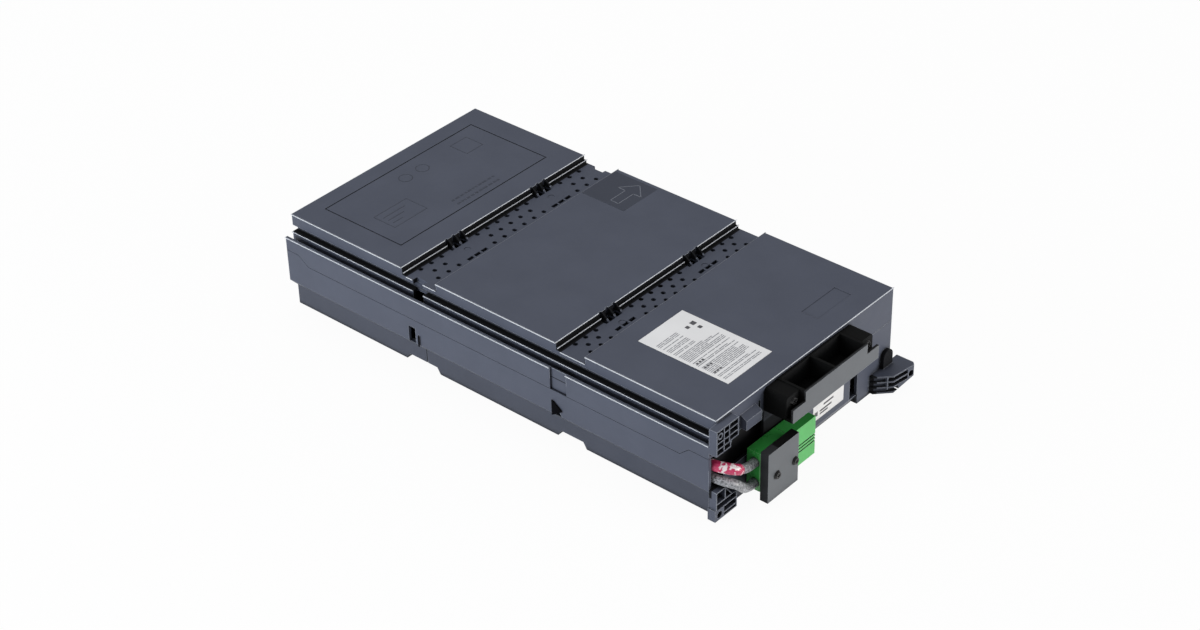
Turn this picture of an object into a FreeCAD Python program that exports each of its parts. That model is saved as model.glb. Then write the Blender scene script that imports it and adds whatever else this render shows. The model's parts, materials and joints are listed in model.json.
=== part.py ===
import FreeCAD, Part
import math
import os
import re

import Sketcher

# Battery cartridge for an uninterruptible power supply: a tray and a lid hold six sealed batteries
# in three sections, with a finger handle, a plug connector and two corner feet on the front end.
# Frame while modelling: X across, Y = 0 at the rear end and negative towards the front, Z = 0 below.
# Every piece is then moved by half the overall length, so the origin lies below the middle.

SIZES = {
    # Housing, outside
    "total_height": 77.6,
    "pad_width": 196.0,
    "section_length": 112.0,
    "strip_one": 33.0,
    "strip_two": 26.0,
    "strip_drop": 5.8,
    "ledge_width": 2.2,
    "ledge_drop": 3.4,
    "wing_reach": 8.0,
    "wing_drop": 16.0,
    "wing_skin": 1.8,
    "skirt_drop": 9.4,
    "rail_depth": 4.5,
    "ridge_drop": 14.7,
    "ridge_proud": 0.5,
    "groove_drop": 24.3,
    "seam_drop": 26.8,
    "seam_low_drop": 33.5,
    "seam_gap": 0.3,
    "seam_rear_flat": 12.0,
    "seam_rear_ramp": 10.0,
    "seam_front_flat": 16.7,
    "seam_front_ramp": 7.6,
    "bend_high_drop": 53.4,
    "bend_low_drop": 61.3,
    "keel_proud": 1.0,
    "pan_lift": 5.0,
    "pan_ramp": 3.0,
    "cover_wall": 2.2,
    "tray_wall": 2.4,
    # Vent strips
    "vent_radius": 1.8,
    "vent_pitch": 10.6,
    "vent_first_row": 5.8,
    "vent_row_step_one": 8.6,
    "vent_row_step_two": 7.0,
    "vent_side_centre": 74.4,
    "clip_centre": 45.2,
    "clip_pitch": 7.2,
    "clip_open_width": 17.0,
    "clip_open_depth": 6.6,
    "clip_notch_width": 2.6,
    "clip_notch_depth": 1.1,
    "fin_thickness": 1.2,
    "fin_top_drop": 0.6,
    "oblong_length": 5.8,
    "oblong_width": 2.8,
    "oblong_offset": 23.7,
    "ejector_radius": 2.6,
    "ejector_offset": 13.6,
    "mark_depth": 0.3,
    # Side notches, panel and windows on the left wing
    "notch_start": 122.7,
    "notch_width": 10.0,
    "notch_inset": 4.0,
    "notch_far_drop": 12.3,
    "panel_start": 257.5,
    "panel_width": 14.5,
    "panel_inset": 1.5,
    "panel_thickness": 1.6,
    "panel_top_drop": 13.0,
    "window_start": 122.7,
    "window_width": 6.7,
    "window_top_drop": 40.5,
    "window_height": 13.5,
    "split_offset": 9.3,
    "split_width": 0.8,
    "split_depth": 1.0,
    "split_top_drop": 45.0,
    "wedge_start": 259.0,
    "wedge_width": 9.0,
    "wedge_top_drop": 41.6,
    "wedge_height": 12.7,
    # Top marks
    "frame_half": 78.2,
    "frame_start": 14.0,
    "frame_length": 78.0,
    "frame_line": 0.9,
    "frame_depth": 0.5,
    "patch_left": 35.0,
    "patch_right": 73.0,
    "patch_start": 363.0,
    "patch_length": 14.0,
    "label_left": 62.0,
    "label_right": 14.5,
    "label_start": 298.5,
    "label_length": 77.5,
    "label_thickness": 0.2,
    # Upper front corner block, ribbed, on the lid
    "block_reach": 6.4,
    "block_inner": 83.0,
    "block_step": 91.0,
    "block_top_drop": 2.0,
    "block_step_drop": 16.8,
    "block_bottom_drop": 22.0,
    "block_rib": 0.8,
    "block_cell_depth": 5.2,
    "block_column_a": 98.2,
    "block_column_b": 92.7,
    "block_row_one": 6.9,
    "block_row_two": 12.0,
    "boss_radius": 2.6,
    "boss_bore": 1.6,
    # Snap tab on the front end of the lid
    "tab_left": 73.4,
    "tab_right": 57.0,
    "tab_reach": 5.4,
    "tab_top_drop": 9.6,
    "tab_face_drop": 12.6,
    "tab_bottom_drop": 20.2,
    "tab_slit": 2.0,
    # Lower front corner block, ribbed, on the tray
    "foot_proud": 1.0,
    "foot_top_drop": 51.9,
    "foot_apex": 96.4,
    "foot_shoulder_x": 89.0,
    "foot_shoulder_drop": 61.8,
    "foot_inner": 84.0,
    "foot_step_drop": 66.4,
    "foot_bottom_drop": 75.6,
    "foot_rib_drop": 67.2,
    "foot_rib_low_drop": 72.4,
    # Right front foot, ribbed, on the tray
    "arm_left": 74.0,
    "arm_knee": 84.5,
    "arm_reach": 13.6,
    "arm_tip_reach": 16.5,
    "arm_top_drop": 61.4,
    "arm_bottom_drop": 76.0,
    "arm_tip_lift": 6.0,
    "arm_rib": 1.1,
    "arm_post": 81.6,
    "arm_cell_depth": 5.0,
    "post_left": 86.0,
    "post_right": 97.0,
    "post_reach": 3.2,
    "post_top_drop": 47.6,
    # Front end of the tray
    "slot_left": 50.4,
    "slot_right": 59.2,
    "slot_top_drop": 42.0,
    "slot_bottom_drop": 69.6,
    "relief_left": 34.0,
    "relief_right": 59.8,
    "relief_height": 8.6,
    "relief_depth": 5.0,
    "front_bulk": 4.6,
    "exit_left": 2.4,
    "exit_width": 13.0,
    "exit_low_drop": 51.9,
    "bay_left": 90.0,
    "bay_right": 48.0,
    "bay_low_drop": 47.0,
    "bay_high_drop": 21.6,
    "bay_lid_left": 82.0,
    "front_label_left": 8.0,
    "front_label_right": 43.3,
    "front_label_top_drop": 50.0,
    "front_label_bottom_drop": 64.3,
    # Batteries
    "battery_width": 90.0,
    "battery_height": 70.0,
    "battery_length": 101.0,
    "battery_round": 2.5,
    "battery_gap": 0.6,
    "battery_rear_gap": 3.0,
    "battery_lid": 9.0,
    "lid_line": 0.8,
    "lid_line_depth": 0.5,
    "second_battery_start": 150.0,
    "third_battery_start": 286.2,
    "foam_under": 1.0,
    "terminal_spread": 34.0,
    "terminal_rise": 58.0,
    "blade_width": 6.3,
    "blade_thickness": 0.8,
    "blade_length": 6.5,
    "lug_width": 7.6,
    "lug_height": 3.0,
    "lug_length": 9.0,
    "lug_clearance": 0.1,
    # Wiring
    "lead_radius": 3.4,
    "link_radius": 2.3,
    "channel_x": 99.4,
    "upper_lead_z": 39.0,
    "lower_lead_z": 31.4,
    "link_z": 46.6,
    "fuse_length": 38.0,
    "fuse_width": 13.0,
    "fuse_y": 259.5,
    "sleeve_wall": 0.4,
    "sleeve_clearance": 0.1,
    # Plug connector and its plate
    "plug_left": 67.5,
    "plug_seam": 38.2,
    "plug_right": 10.6,
    "plug_bottom": 6.6,
    "plug_height": 31.4,
    "plug_rear_gap": 1.5,
    "plug_front": 15.5,
    "plug_split": 0.3,
    "contact_centre": 21.45,
    "contact_spread": 8.45,
    "contact_radius": 3.2,
    "plate_left": 70.9,
    "plate_right": 38.0,
    "plate_bottom": 3.4,
    "plate_height": 40.2,
    "plate_thickness": 6.5,
    "stud_radius": 3.5,
    "stud_left": 61.5,
    "stud_right": 41.8,
    "stud_rise": 22.2,
    "screw_radius": 1.5,
    "screw_head_radius": 3.3,
    "screw_head_height": 1.8,
    "screw_length": 14.0,
    # Finger handle
    "handle_reach": 24.0,
    "handle_half": 34.5,
    "handle_end_half": 48.0,
    "handle_top_drop": 2.0,
    "handle_bottom_drop": 20.5,
    "handle_band_drop": 10.0,
    "handle_wall": 2.0,
    "handle_end_reach": 18.4,
    "handle_end_drop": 2.6,
    "handle_end_round": 2.0,
    "handle_shelf": 6.0,
    "handle_shelf_drop": 10.5,
    "handle_screw_x": 41.0,
    "handle_screw_drop": 7.6,
    "handle_screw_length": 22.0,
}

document = FreeCAD.newDocument("cartridge")
sheet = document.addObject("Spreadsheet::Sheet", "Sizes")
for row, (name, size) in enumerate(SIZES.items(), start=1):
    sheet.set("A%d" % row, name)
    sheet.set("B%d" % row, str(size))
    sheet.setAlias("B%d" % row, name)
document.recompute()

SIZE_NAME = re.compile(r"\b(" + "|".join(sorted(SIZES, key=len, reverse=True)) + r")\b")

# Lengths that follow from the sizes
HALF = "(pad_width/2)"
LENGTH = "(3*section_length + strip_one + strip_two)"
OVERALL = "(%s + handle_reach)" % LENGTH
WING = "(pad_width/2 + wing_reach)"
KEEL = "(pad_width/2 + keel_proud)"
RIDGE = "(pad_width/2 + ridge_proud)"
RAIL = "(pad_width/2 - rail_depth)"
TOP = "total_height"
STRIP_TOP = "(total_height - strip_drop)"
SKIRT_Z = "(total_height - skirt_drop)"
RIDGE_Z = "(total_height - ridge_drop)"
WING_Z = "(total_height - wing_drop)"
GROOVE_Z = "(total_height - groove_drop)"
SEAM_Z = "(total_height - seam_drop)"
SEAM_LOW_Z = "(total_height - seam_low_drop)"
BEND_HIGH_Z = "(total_height - bend_high_drop)"
BEND_LOW_Z = "(total_height - bend_low_drop)"
TRAY_TOP_Z = "(total_height - seam_drop - seam_gap)"
TRAY_LOW_Z = "(total_height - seam_low_drop - seam_gap)"
SECTION_STARTS = ["0", "(section_length + strip_one)", "(2*section_length + strip_one + strip_two)"]
STRIP_STARTS = ["section_length", "(2*section_length + strip_one)"]
STRIP_WIDTHS = ["strip_one", "strip_two"]
PAST = "1"
# Cables are drawn with this many sides, which keeps their facets few
LEAD_SIDES = 12


def bound(text):
    """An expression in the sheet's names, as the document writes it."""
    return SIZE_NAME.sub(r"Sizes.\1", text)


def size_of(text):
    """The number that an expression gives now."""
    return float(sheet.evalExpression(bound(text)))


def new_body(label):
    """A body for one piece, moved so that the origin lies below the middle of the whole."""
    body = document.addObject("PartDesign::Body", label)
    body.Label = label
    body.setExpression("Placement.Base.y", bound(OVERALL + "/2"))
    return body


def new_sketch(body, role, offset="0"):
    """A sketch on one of the body's own origin planes, moved along its normal."""
    sketch = body.newObject("Sketcher::SketchObject", "outline")
    plane = [item for item in body.Origin.OriginFeatures if item.Role == role][0]
    sketch.AttachmentSupport = [(plane, "")]
    sketch.MapMode = "FlatFace"
    sketch.setExpression("AttachmentOffset.Base.z", bound(offset))
    return sketch


def corner(sketch, line, across, along):
    """Ties the start of a line to two expressions, measured from the sketch's origin."""
    first = sketch.addConstraint(Sketcher.Constraint("DistanceX", -1, 1, line, 1, size_of(across)))
    sketch.setExpression("Constraints[%d]" % first, bound(across))
    second = sketch.addConstraint(Sketcher.Constraint("DistanceY", -1, 1, line, 1, size_of(along)))
    sketch.setExpression("Constraints[%d]" % second, bound(along))


def polygon(sketch, points):
    """A closed outline of straight lines through points given as pairs of expressions."""
    places = [FreeCAD.Vector(size_of(across), size_of(along), 0) for across, along in points]
    lines = []
    for index, start in enumerate(places):
        end = places[(index + 1) % len(places)]
        lines.append(sketch.addGeometry(Part.LineSegment(start, end), False))
    joins = []
    for index, line in enumerate(lines):
        joins.append(Sketcher.Constraint("Coincident", line, 2, lines[(index + 1) % len(lines)], 1))
    sketch.addConstraint(joins)
    for line, (across, along) in zip(lines, points):
        corner(sketch, line, across, along)


def rectangle(sketch, left, right, low, high):
    """A rectangle between two expressions each way."""
    a, b, c, d = size_of(left), size_of(right), size_of(low), size_of(high)
    ends = [(a, c), (b, c), (b, d), (a, d)]
    places = [FreeCAD.Vector(across, along, 0) for across, along in ends]
    lines = []
    for index in range(4):
        segment = Part.LineSegment(places[index], places[(index + 1) % 4])
        lines.append(sketch.addGeometry(segment, False))
    sketch.addConstraint([
        Sketcher.Constraint("Coincident", lines[0], 2, lines[1], 1),
        Sketcher.Constraint("Coincident", lines[1], 2, lines[2], 1),
        Sketcher.Constraint("Coincident", lines[2], 2, lines[3], 1),
        Sketcher.Constraint("Coincident", lines[3], 2, lines[0], 1),
        Sketcher.Constraint("Horizontal", lines[0]),
        Sketcher.Constraint("Vertical", lines[1]),
        Sketcher.Constraint("Horizontal", lines[2]),
        Sketcher.Constraint("Vertical", lines[3]),
    ])
    corner(sketch, lines[0], left, low)
    corner(sketch, lines[2], right, high)


def circle(sketch, across, along, radius):
    """A circle whose centre and radius are expressions."""
    centre = FreeCAD.Vector(size_of(across), size_of(along), 0)
    round_edge = sketch.addGeometry(Part.Circle(centre, FreeCAD.Vector(0, 0, 1), size_of(radius)), False)
    first = sketch.addConstraint(Sketcher.Constraint("Radius", round_edge, size_of(radius)))
    sketch.setExpression("Constraints[%d]" % first, bound(radius))
    second = sketch.addConstraint(Sketcher.Constraint("DistanceX", -1, 1, round_edge, 3, centre.x))
    sketch.setExpression("Constraints[%d]" % second, bound(across))
    third = sketch.addConstraint(Sketcher.Constraint("DistanceY", -1, 1, round_edge, 3, centre.y))
    sketch.setExpression("Constraints[%d]" % third, bound(along))


def pad(body, sketch, length, against=False):
    """Adds the sketch along its normal, or against it."""
    feature = body.newObject("PartDesign::Pad", "added")
    feature.Profile = sketch
    feature.Reversed = against
    feature.setExpression("Length", bound(length))
    document.recompute()
    return feature


def cut(body, sketch, length, along=False):
    """Takes the sketch away against its normal, or along it, and makes sure that it cut."""
    before = body.Tip.Shape.Volume
    feature = body.newObject("PartDesign::Pocket", "taken")
    feature.Profile = sketch
    feature.Reversed = along
    feature.setExpression("Length", bound(length))
    document.recompute()
    if feature.Shape.Volume > before - 1e-6:
        raise RuntimeError("%s: a cut took nothing away" % body.Label)
    return feature


def negative(text):
    """The same length towards the front or the left."""
    return "-(%s)" % text


# Lid: one moulded shell with three raised pads, two vent strips and a groove along the left wing
def lid_shell(body):
    outline = new_sketch(body, "XZ_Plane")
    inner_wall = "(%s - cover_wall)" % RIDGE
    polygon(outline, [
        (HALF, TOP), (HALF, SEAM_Z), (negative(inner_wall), SEAM_Z), (negative(inner_wall), SEAM_LOW_Z),
        (negative(WING), SEAM_LOW_Z), (negative(WING), WING_Z),
        (negative(WING + " - wing_skin"), WING_Z), (negative(WING + " - wing_skin"), GROOVE_Z),
        (negative(RIDGE), GROOVE_Z), (negative(RIDGE), RIDGE_Z), (negative(RAIL), RIDGE_Z),
        (negative(RAIL), SKIRT_Z), (negative(HALF), SKIRT_Z), (negative(HALF), TOP),
    ])
    pad(body, outline, LENGTH)
    hollow = new_sketch(body, "XZ_Plane", "cover_wall")
    polygon(hollow, [
        (HALF + " - cover_wall", SEAM_LOW_Z + " - " + PAST),
        (HALF + " - cover_wall", STRIP_TOP + " - cover_wall"),
        (negative(RAIL + " - cover_wall"), STRIP_TOP + " - cover_wall"),
        (negative(RAIL + " - cover_wall"), RIDGE_Z + " - cover_wall"),
        (negative(inner_wall), RIDGE_Z + " - cover_wall"),
        (negative(inner_wall), GROOVE_Z + " - cover_wall"),
        (negative(WING + " - wing_skin"), GROOVE_Z + " - cover_wall"),
        (negative(WING + " - wing_skin"), SEAM_LOW_Z + " - " + PAST),
    ])
    cut(body, hollow, LENGTH + " - 2*cover_wall", along=True)
    bays = new_sketch(body, "XY_Plane", STRIP_TOP + " - cover_wall")
    for start in SECTION_STARTS:
        rectangle(bays, negative(HALF + " - cover_wall"), HALF + " - cover_wall",
                  negative(start + " + section_length - cover_wall"), negative(start + " + cover_wall"))
    cut(body, bays, "strip_drop", along=True)


def lid_strips(body):
    sunk = new_sketch(body, "XY_Plane", STRIP_TOP)
    ledge = new_sketch(body, "XY_Plane", TOP + " - ledge_drop")
    for start, width in zip(STRIP_STARTS, STRIP_WIDTHS):
        rectangle(sunk, negative(HALF + " + " + PAST), HALF + " + " + PAST,
                  negative(start + " + " + width), negative(start + " + ledge_width"))
        rectangle(ledge, negative(HALF + " + " + PAST), HALF + " + " + PAST,
                  negative(start + " + ledge_width"), negative(start))
    cut(body, sunk, "strip_drop + " + PAST, along=True)
    cut(body, ledge, "ledge_drop + " + PAST, along=True)


def vent_places():
    """Centres of the vent holes across a strip, by row: the middle row is half a pitch off."""
    even_middle = ["(%s)*vent_pitch" % step for step in (-2.5, -1.5, -0.5, 0.5, 1.5, 2.5)]
    odd_middle = ["(%s)*vent_pitch" % step for step in (-2, -1, 0, 1, 2)]
    even_sides = []
    odd_sides = []
    for side in ("-", ""):
        even_sides += ["%s(vent_side_centre + (%s)*vent_pitch)" % (side, step) for step in (-1, 0, 1)]
        odd_sides += ["%s(vent_side_centre + (%s)*vent_pitch)" % (side, step) for step in (-0.5, 0.5)]
    return [even_middle + even_sides, odd_middle + odd_sides, even_middle + even_sides]


def lid_vents(body):
    holes = new_sketch(body, "XY_Plane", STRIP_TOP)
    for start, step in zip(STRIP_STARTS, ("vent_row_step_one", "vent_row_step_two")):
        for number, row in enumerate(vent_places()):
            for place in row:
                distance = "%s + vent_first_row + %d*%s" % (start, number, step)
                circle(holes, place, negative(distance), "vent_radius")
    cut(body, holes, "cover_wall + " + PAST)


def lid_clips(body):
    """Snap openings beside the pads, each crossed by three sloping fins, and slots opposite."""
    openings = new_sketch(body, "XY_Plane", TOP)
    notches = new_sketch(body, "XY_Plane", TOP)
    slots = new_sketch(body, "XY_Plane", STRIP_TOP)
    marks = new_sketch(body, "XY_Plane", STRIP_TOP)
    offset = {"strip_one": "oblong_offset", "strip_two": "(oblong_offset - strip_one + strip_two)"}
    for start, width in zip(STRIP_STARTS, STRIP_WIDTHS):
        for side in ("-clip_centre", "clip_centre"):
            rectangle(openings, side + " - clip_open_width/2", side + " + clip_open_width/2",
                      negative(start + " + clip_open_depth"), negative(start))
            for step in (-1, 0, 1):
                middle = "(%s + (%d)*clip_pitch)" % (side, step)
                rectangle(notches, middle + " - clip_notch_width/2", middle + " + clip_notch_width/2",
                          negative(start), negative(start + " - clip_notch_depth"))
                distance = start + " + " + offset[width]
                rectangle(slots, middle + " - oblong_length/2", middle + " + oblong_length/2",
                          negative(distance + " + oblong_width/2"),
                          negative(distance + " - oblong_width/2"))
            circle(marks, side, negative(start + " + ejector_offset"), "ejector_radius")
    cut(body, openings, "strip_drop + cover_wall + " + PAST)
    cut(body, notches, "strip_drop")
    cut(body, slots, "cover_wall + " + PAST)
    cut(body, marks, "mark_depth")
    across = [item for item in body.Origin.OriginFeatures if item.Role == "X_Axis"][0]
    for start in STRIP_STARTS:
        for side in ("-clip_centre", "clip_centre"):
            first = side + " - clip_pitch + clip_notch_width/2"
            fin = new_sketch(body, "YZ_Plane", first)
            polygon(fin, [
                (negative(start), TOP + " - fin_top_drop"),
                (negative(start + " + clip_open_depth"), STRIP_TOP),
                (negative(start + " + clip_open_depth"), STRIP_TOP + " - cover_wall"),
                (negative(start), STRIP_TOP + " - cover_wall"),
            ])
            blade = pad(body, fin, "fin_thickness")
            row = body.newObject("PartDesign::LinearPattern", "fins")
            row.Originals = [blade]
            row.Direction = (across, [""])
            row.setExpression("Length", bound("2*clip_pitch"))
            row.Occurrences = 3
            body.Tip = row
            document.recompute()


def lid_side(body):
    """The notch through strip one and the ridge, the gap in the wing skin and its set-back panel."""
    notch = new_sketch(body, "XY_Plane", GROOVE_Z)
    rectangle(notch, negative(RIDGE + " + " + PAST), negative(HALF + " - notch_inset"),
              negative("notch_start + notch_width"), negative("notch_start"))
    cut(body, notch, "groove_drop", along=True)
    far_notch = new_sketch(body, "XY_Plane", TOP + " - notch_far_drop")
    rectangle(far_notch, HALF + " - 0.75*notch_inset", HALF + " + " + PAST,
              negative("notch_start + notch_width"), negative("notch_start"))
    cut(body, far_notch, "notch_far_drop", along=True)
    gap = new_sketch(body, "YZ_Plane", negative(WING + " + " + PAST))
    rectangle(gap, negative("panel_start + panel_width"), negative("panel_start"),
              SEAM_LOW_Z + " - " + PAST, WING_Z + " + " + PAST)
    cut(body, gap, "wing_skin + " + PAST, along=True)
    lap = "wing_skin"
    panel = new_sketch(body, "YZ_Plane", negative(WING + " - panel_inset"))
    rectangle(panel, negative("panel_start + panel_width + " + lap), negative("panel_start - " + lap),
              SEAM_LOW_Z, TOP + " - panel_top_drop - wing_skin*2")
    pad(body, panel, "panel_thickness")


def seam_cut(body, high, low):
    """Steps the lower edge of the wing skin up at both ends of the cartridge."""
    for corner_points in (
        [("1", low + " - " + PAST), ("1", high), (negative("seam_rear_flat"), high),
         (negative("seam_rear_flat + seam_rear_ramp"), low),
         (negative("seam_rear_flat + seam_rear_ramp"), low + " - " + PAST)],
        [(negative(LENGTH + " + " + PAST), low + " - " + PAST), (negative(LENGTH + " + " + PAST), high),
         (negative(LENGTH + " - seam_front_flat"), high),
         (negative(LENGTH + " - seam_front_flat - seam_front_ramp"), low),
         (negative(LENGTH + " - seam_front_flat - seam_front_ramp"), low + " - " + PAST)],
    ):
        ramp = new_sketch(body, "YZ_Plane", negative(WING + " + " + PAST))
        polygon(ramp, corner_points)
        cut(body, ramp, "wing_reach + cover_wall + " + PAST, along=True)


def block_cells(body):
    """The corner block on the lid's front end, opened from the front into ribs and one boss."""
    plate = new_sketch(body, "XZ_Plane", LENGTH)
    polygon(plate, [
        (negative(WING), TOP + " - block_top_drop"),
        (negative("block_inner"), TOP + " - block_top_drop"),
        (negative("block_inner"), TOP + " - block_step_drop"),
        (negative("block_step"), TOP + " - block_step_drop"),
        (negative("block_step"), TOP + " - block_bottom_drop"),
        (negative(WING), TOP + " - block_bottom_drop"),
    ])
    pad(body, plate, "block_reach")
    rib = "block_rib"
    lefts = [WING + " - " + rib, "block_column_a - %s/2" % rib, "block_column_b - %s/2" % rib]
    rights = ["block_column_a + %s/2" % rib, "block_column_b + %s/2" % rib, "block_inner + " + rib]
    tops = ["block_top_drop + " + rib, "block_row_one + %s/2" % rib, "block_row_two + %s/2" % rib,
            "block_step_drop + %s/2" % rib]
    floors = ["block_row_one - %s/2" % rib, "block_row_two - %s/2" % rib,
              "block_step_drop - %s/2" % rib, "block_bottom_drop - " + rib]
    cells = new_sketch(body, "XZ_Plane", LENGTH + " + block_reach")
    for row in range(4):
        for column in range(3):
            if (row == 0 and column == 0) or (row == 3 and column == 2):
                continue
            top = tops[0] if (row == 1 and column == 0) else tops[row]
            low = "block_step_drop - " + rib if (row == 2 and column == 2) else floors[row]
            right = "block_step + " + rib if (row == 3 and column == 1) else rights[column]
            rectangle(cells, negative(lefts[column]), negative(right),
                      "%s - (%s)" % (TOP, low), "%s - (%s)" % (TOP, top))
    boss_x = "(%s + block_column_a)/2" % WING
    boss_z = "(%s - (block_top_drop + block_row_two)/2)" % TOP
    circle(cells, negative(boss_x), boss_z, "boss_radius")
    circle(cells, negative(boss_x), boss_z, "boss_bore")
    cut(body, cells, "block_cell_depth")


def lid_front(body):
    """The wedge-shaped snap tab and the slit beside it."""
    tab = new_sketch(body, "YZ_Plane", negative("tab_left"))
    polygon(tab, [
        (negative(LENGTH), TOP + " - tab_top_drop"),
        (negative(LENGTH + " + tab_reach"), TOP + " - tab_face_drop"),
        (negative(LENGTH + " + tab_reach"), TOP + " - tab_bottom_drop"),
        (negative(LENGTH), TOP + " - tab_bottom_drop"),
    ])
    pad(body, tab, "tab_left - tab_right")
    slit = new_sketch(body, "XZ_Plane", LENGTH)
    rectangle(slit, negative("tab_right - 1.5*tab_slit"), negative("tab_right - 2.5*tab_slit"),
              TOP + " - tab_bottom_drop", TOP + " - tab_top_drop")
    cut(body, slit, "cover_wall/2")
    bay = new_sketch(body, "XZ_Plane", LENGTH)
    rectangle(bay, negative("bay_lid_left"), negative("bay_right"), SEAM_LOW_Z, TOP + " - bay_high_drop")
    cut(body, bay, "cover_wall")
    pilots = new_sketch(body, "XZ_Plane", LENGTH)
    for side in ("-", ""):
        circle(pilots, side + "handle_screw_x", TOP + " - handle_screw_drop", "screw_radius")
    cut(body, pilots, "cover_wall")


def lid_marks(body):
    """Shallow frame line, patch and label seat on the raised pads."""
    line = new_sketch(body, "XY_Plane", TOP)
    rectangle(line, negative("frame_half"), "frame_half",
              negative("frame_start + frame_length"), negative("frame_start"))
    rectangle(line, negative("frame_half - frame_line"), "frame_half - frame_line",
              negative("frame_start + frame_length - frame_line"), negative("frame_start + frame_line"))
    cut(body, line, "frame_depth")
    patch = new_sketch(body, "XY_Plane", TOP)
    rectangle(patch, "patch_left", "patch_right",
              negative("patch_start + patch_length"), negative("patch_start"))
    cut(body, patch, "mark_depth")
    seat = new_sketch(body, "XY_Plane", TOP)
    rectangle(seat, negative("label_left"), negative("label_right"),
              negative("label_start + label_length"), negative("label_start"))
    cut(body, seat, "label_thickness")


def make_lid():
    body = new_body("top_cover")
    lid_shell(body)
    lid_strips(body)
    lid_vents(body)
    lid_clips(body)
    lid_side(body)
    seam_cut(body, SEAM_Z, SEAM_LOW_Z)
    block_cells(body)
    lid_front(body)
    lid_marks(body)
    return body


# Tray: three pans in one moulding, with the wing on the left, two front feet and the plug's studs
def tray_shell(body):
    outline = new_sketch(body, "XZ_Plane")
    polygon(outline, [
        (HALF, TRAY_TOP_Z), (HALF, "0"), (negative(KEEL), "0"), (negative(KEEL), BEND_LOW_Z),
        (negative(WING), BEND_HIGH_Z), (negative(WING), TRAY_TOP_Z),
    ])
    pad(body, outline, LENGTH)
    hollow = new_sketch(body, "XZ_Plane", "tray_wall")
    polygon(hollow, [
        (HALF + " - tray_wall", TRAY_TOP_Z + " + " + PAST),
        (HALF + " - tray_wall", "pan_lift + tray_wall"),
        (negative(KEEL + " - tray_wall"), "pan_lift + tray_wall"),
        (negative(KEEL + " - tray_wall"), BEND_LOW_Z + " + tray_wall/2"),
        (negative(WING + " - tray_wall"), BEND_HIGH_Z + " + tray_wall/2"),
        (negative(WING + " - tray_wall"), TRAY_TOP_Z + " + " + PAST),
    ])
    cut(body, hollow, LENGTH + " - 2*tray_wall", along=True)
    bays = new_sketch(body, "XY_Plane", "tray_wall")
    for number, start in enumerate(SECTION_STARTS):
        bulk = " - front_bulk" if number == 2 else ""
        rectangle(bays, negative(KEEL + " - tray_wall"), HALF + " - tray_wall",
                  negative(start + " + section_length - tray_wall" + bulk),
                  negative(start + " + tray_wall"))
    cut(body, bays, "pan_lift", along=True)


def tray_underside(body):
    """Between the pans the underside is lifted, with short slopes at both ends."""
    lift = new_sketch(body, "YZ_Plane", negative(WING + " + " + PAST))
    for start, width in zip(STRIP_STARTS, STRIP_WIDTHS):
        polygon(lift, [
            (negative(start), "0"), (negative(start + " + pan_ramp"), "pan_lift"),
            (negative(start + " + " + width + " - pan_ramp"), "pan_lift"),
            (negative(start + " + " + width), "0"), (negative(start + " + " + width), "-" + PAST),
            (negative(start), "-" + PAST),
        ])
    cut(body, lift, "%s + %s + 2*%s" % (WING, HALF, PAST), along=True)


def tray_wing(body):
    """The wing's upper edge follows the lid, and its wall has a slot, a split line and a wedge hole."""
    edge = new_sketch(body, "YZ_Plane", negative(WING + " + " + PAST))
    polygon(edge, [
        (negative("seam_rear_flat"), TRAY_TOP_Z + " + " + PAST), (negative("seam_rear_flat"), TRAY_TOP_Z),
        (negative("seam_rear_flat + seam_rear_ramp"), TRAY_LOW_Z),
        (negative(LENGTH + " - seam_front_flat - seam_front_ramp"), TRAY_LOW_Z),
        (negative(LENGTH + " - seam_front_flat"), TRAY_TOP_Z),
        (negative(LENGTH + " - seam_front_flat"), TRAY_TOP_Z + " + " + PAST),
    ])
    cut(body, edge, "wing_reach + " + PAST, along=True)
    openings = new_sketch(body, "YZ_Plane", negative(WING + " + " + PAST))
    rectangle(openings, negative("window_start + window_width"), negative("window_start"),
              TOP + " - window_top_drop - window_height", TOP + " - window_top_drop")
    polygon(openings, [
        (negative("wedge_start"), TOP + " - wedge_top_drop"),
        (negative("wedge_start"), TOP + " - wedge_top_drop - wedge_height"),
        (negative("wedge_start + wedge_width"), TOP + " - wedge_top_drop - wedge_height"),
    ])
    cut(body, openings, "tray_wall + 2*" + PAST, along=True)
    split = new_sketch(body, "YZ_Plane", negative(WING + " + " + PAST))
    rectangle(split, negative("window_start + split_offset + split_width"),
              negative("window_start + split_offset"), BEND_HIGH_Z, TOP + " - split_top_drop")
    cut(body, split, "split_depth + " + PAST, along=True)
    low_split = new_sketch(body, "YZ_Plane", negative(KEEL + " + " + PAST))
    rectangle(low_split, negative("window_start + split_offset + split_width"),
              negative("window_start + split_offset"), "0", BEND_LOW_Z)
    cut(body, low_split, "split_depth + " + PAST, along=True)


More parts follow.
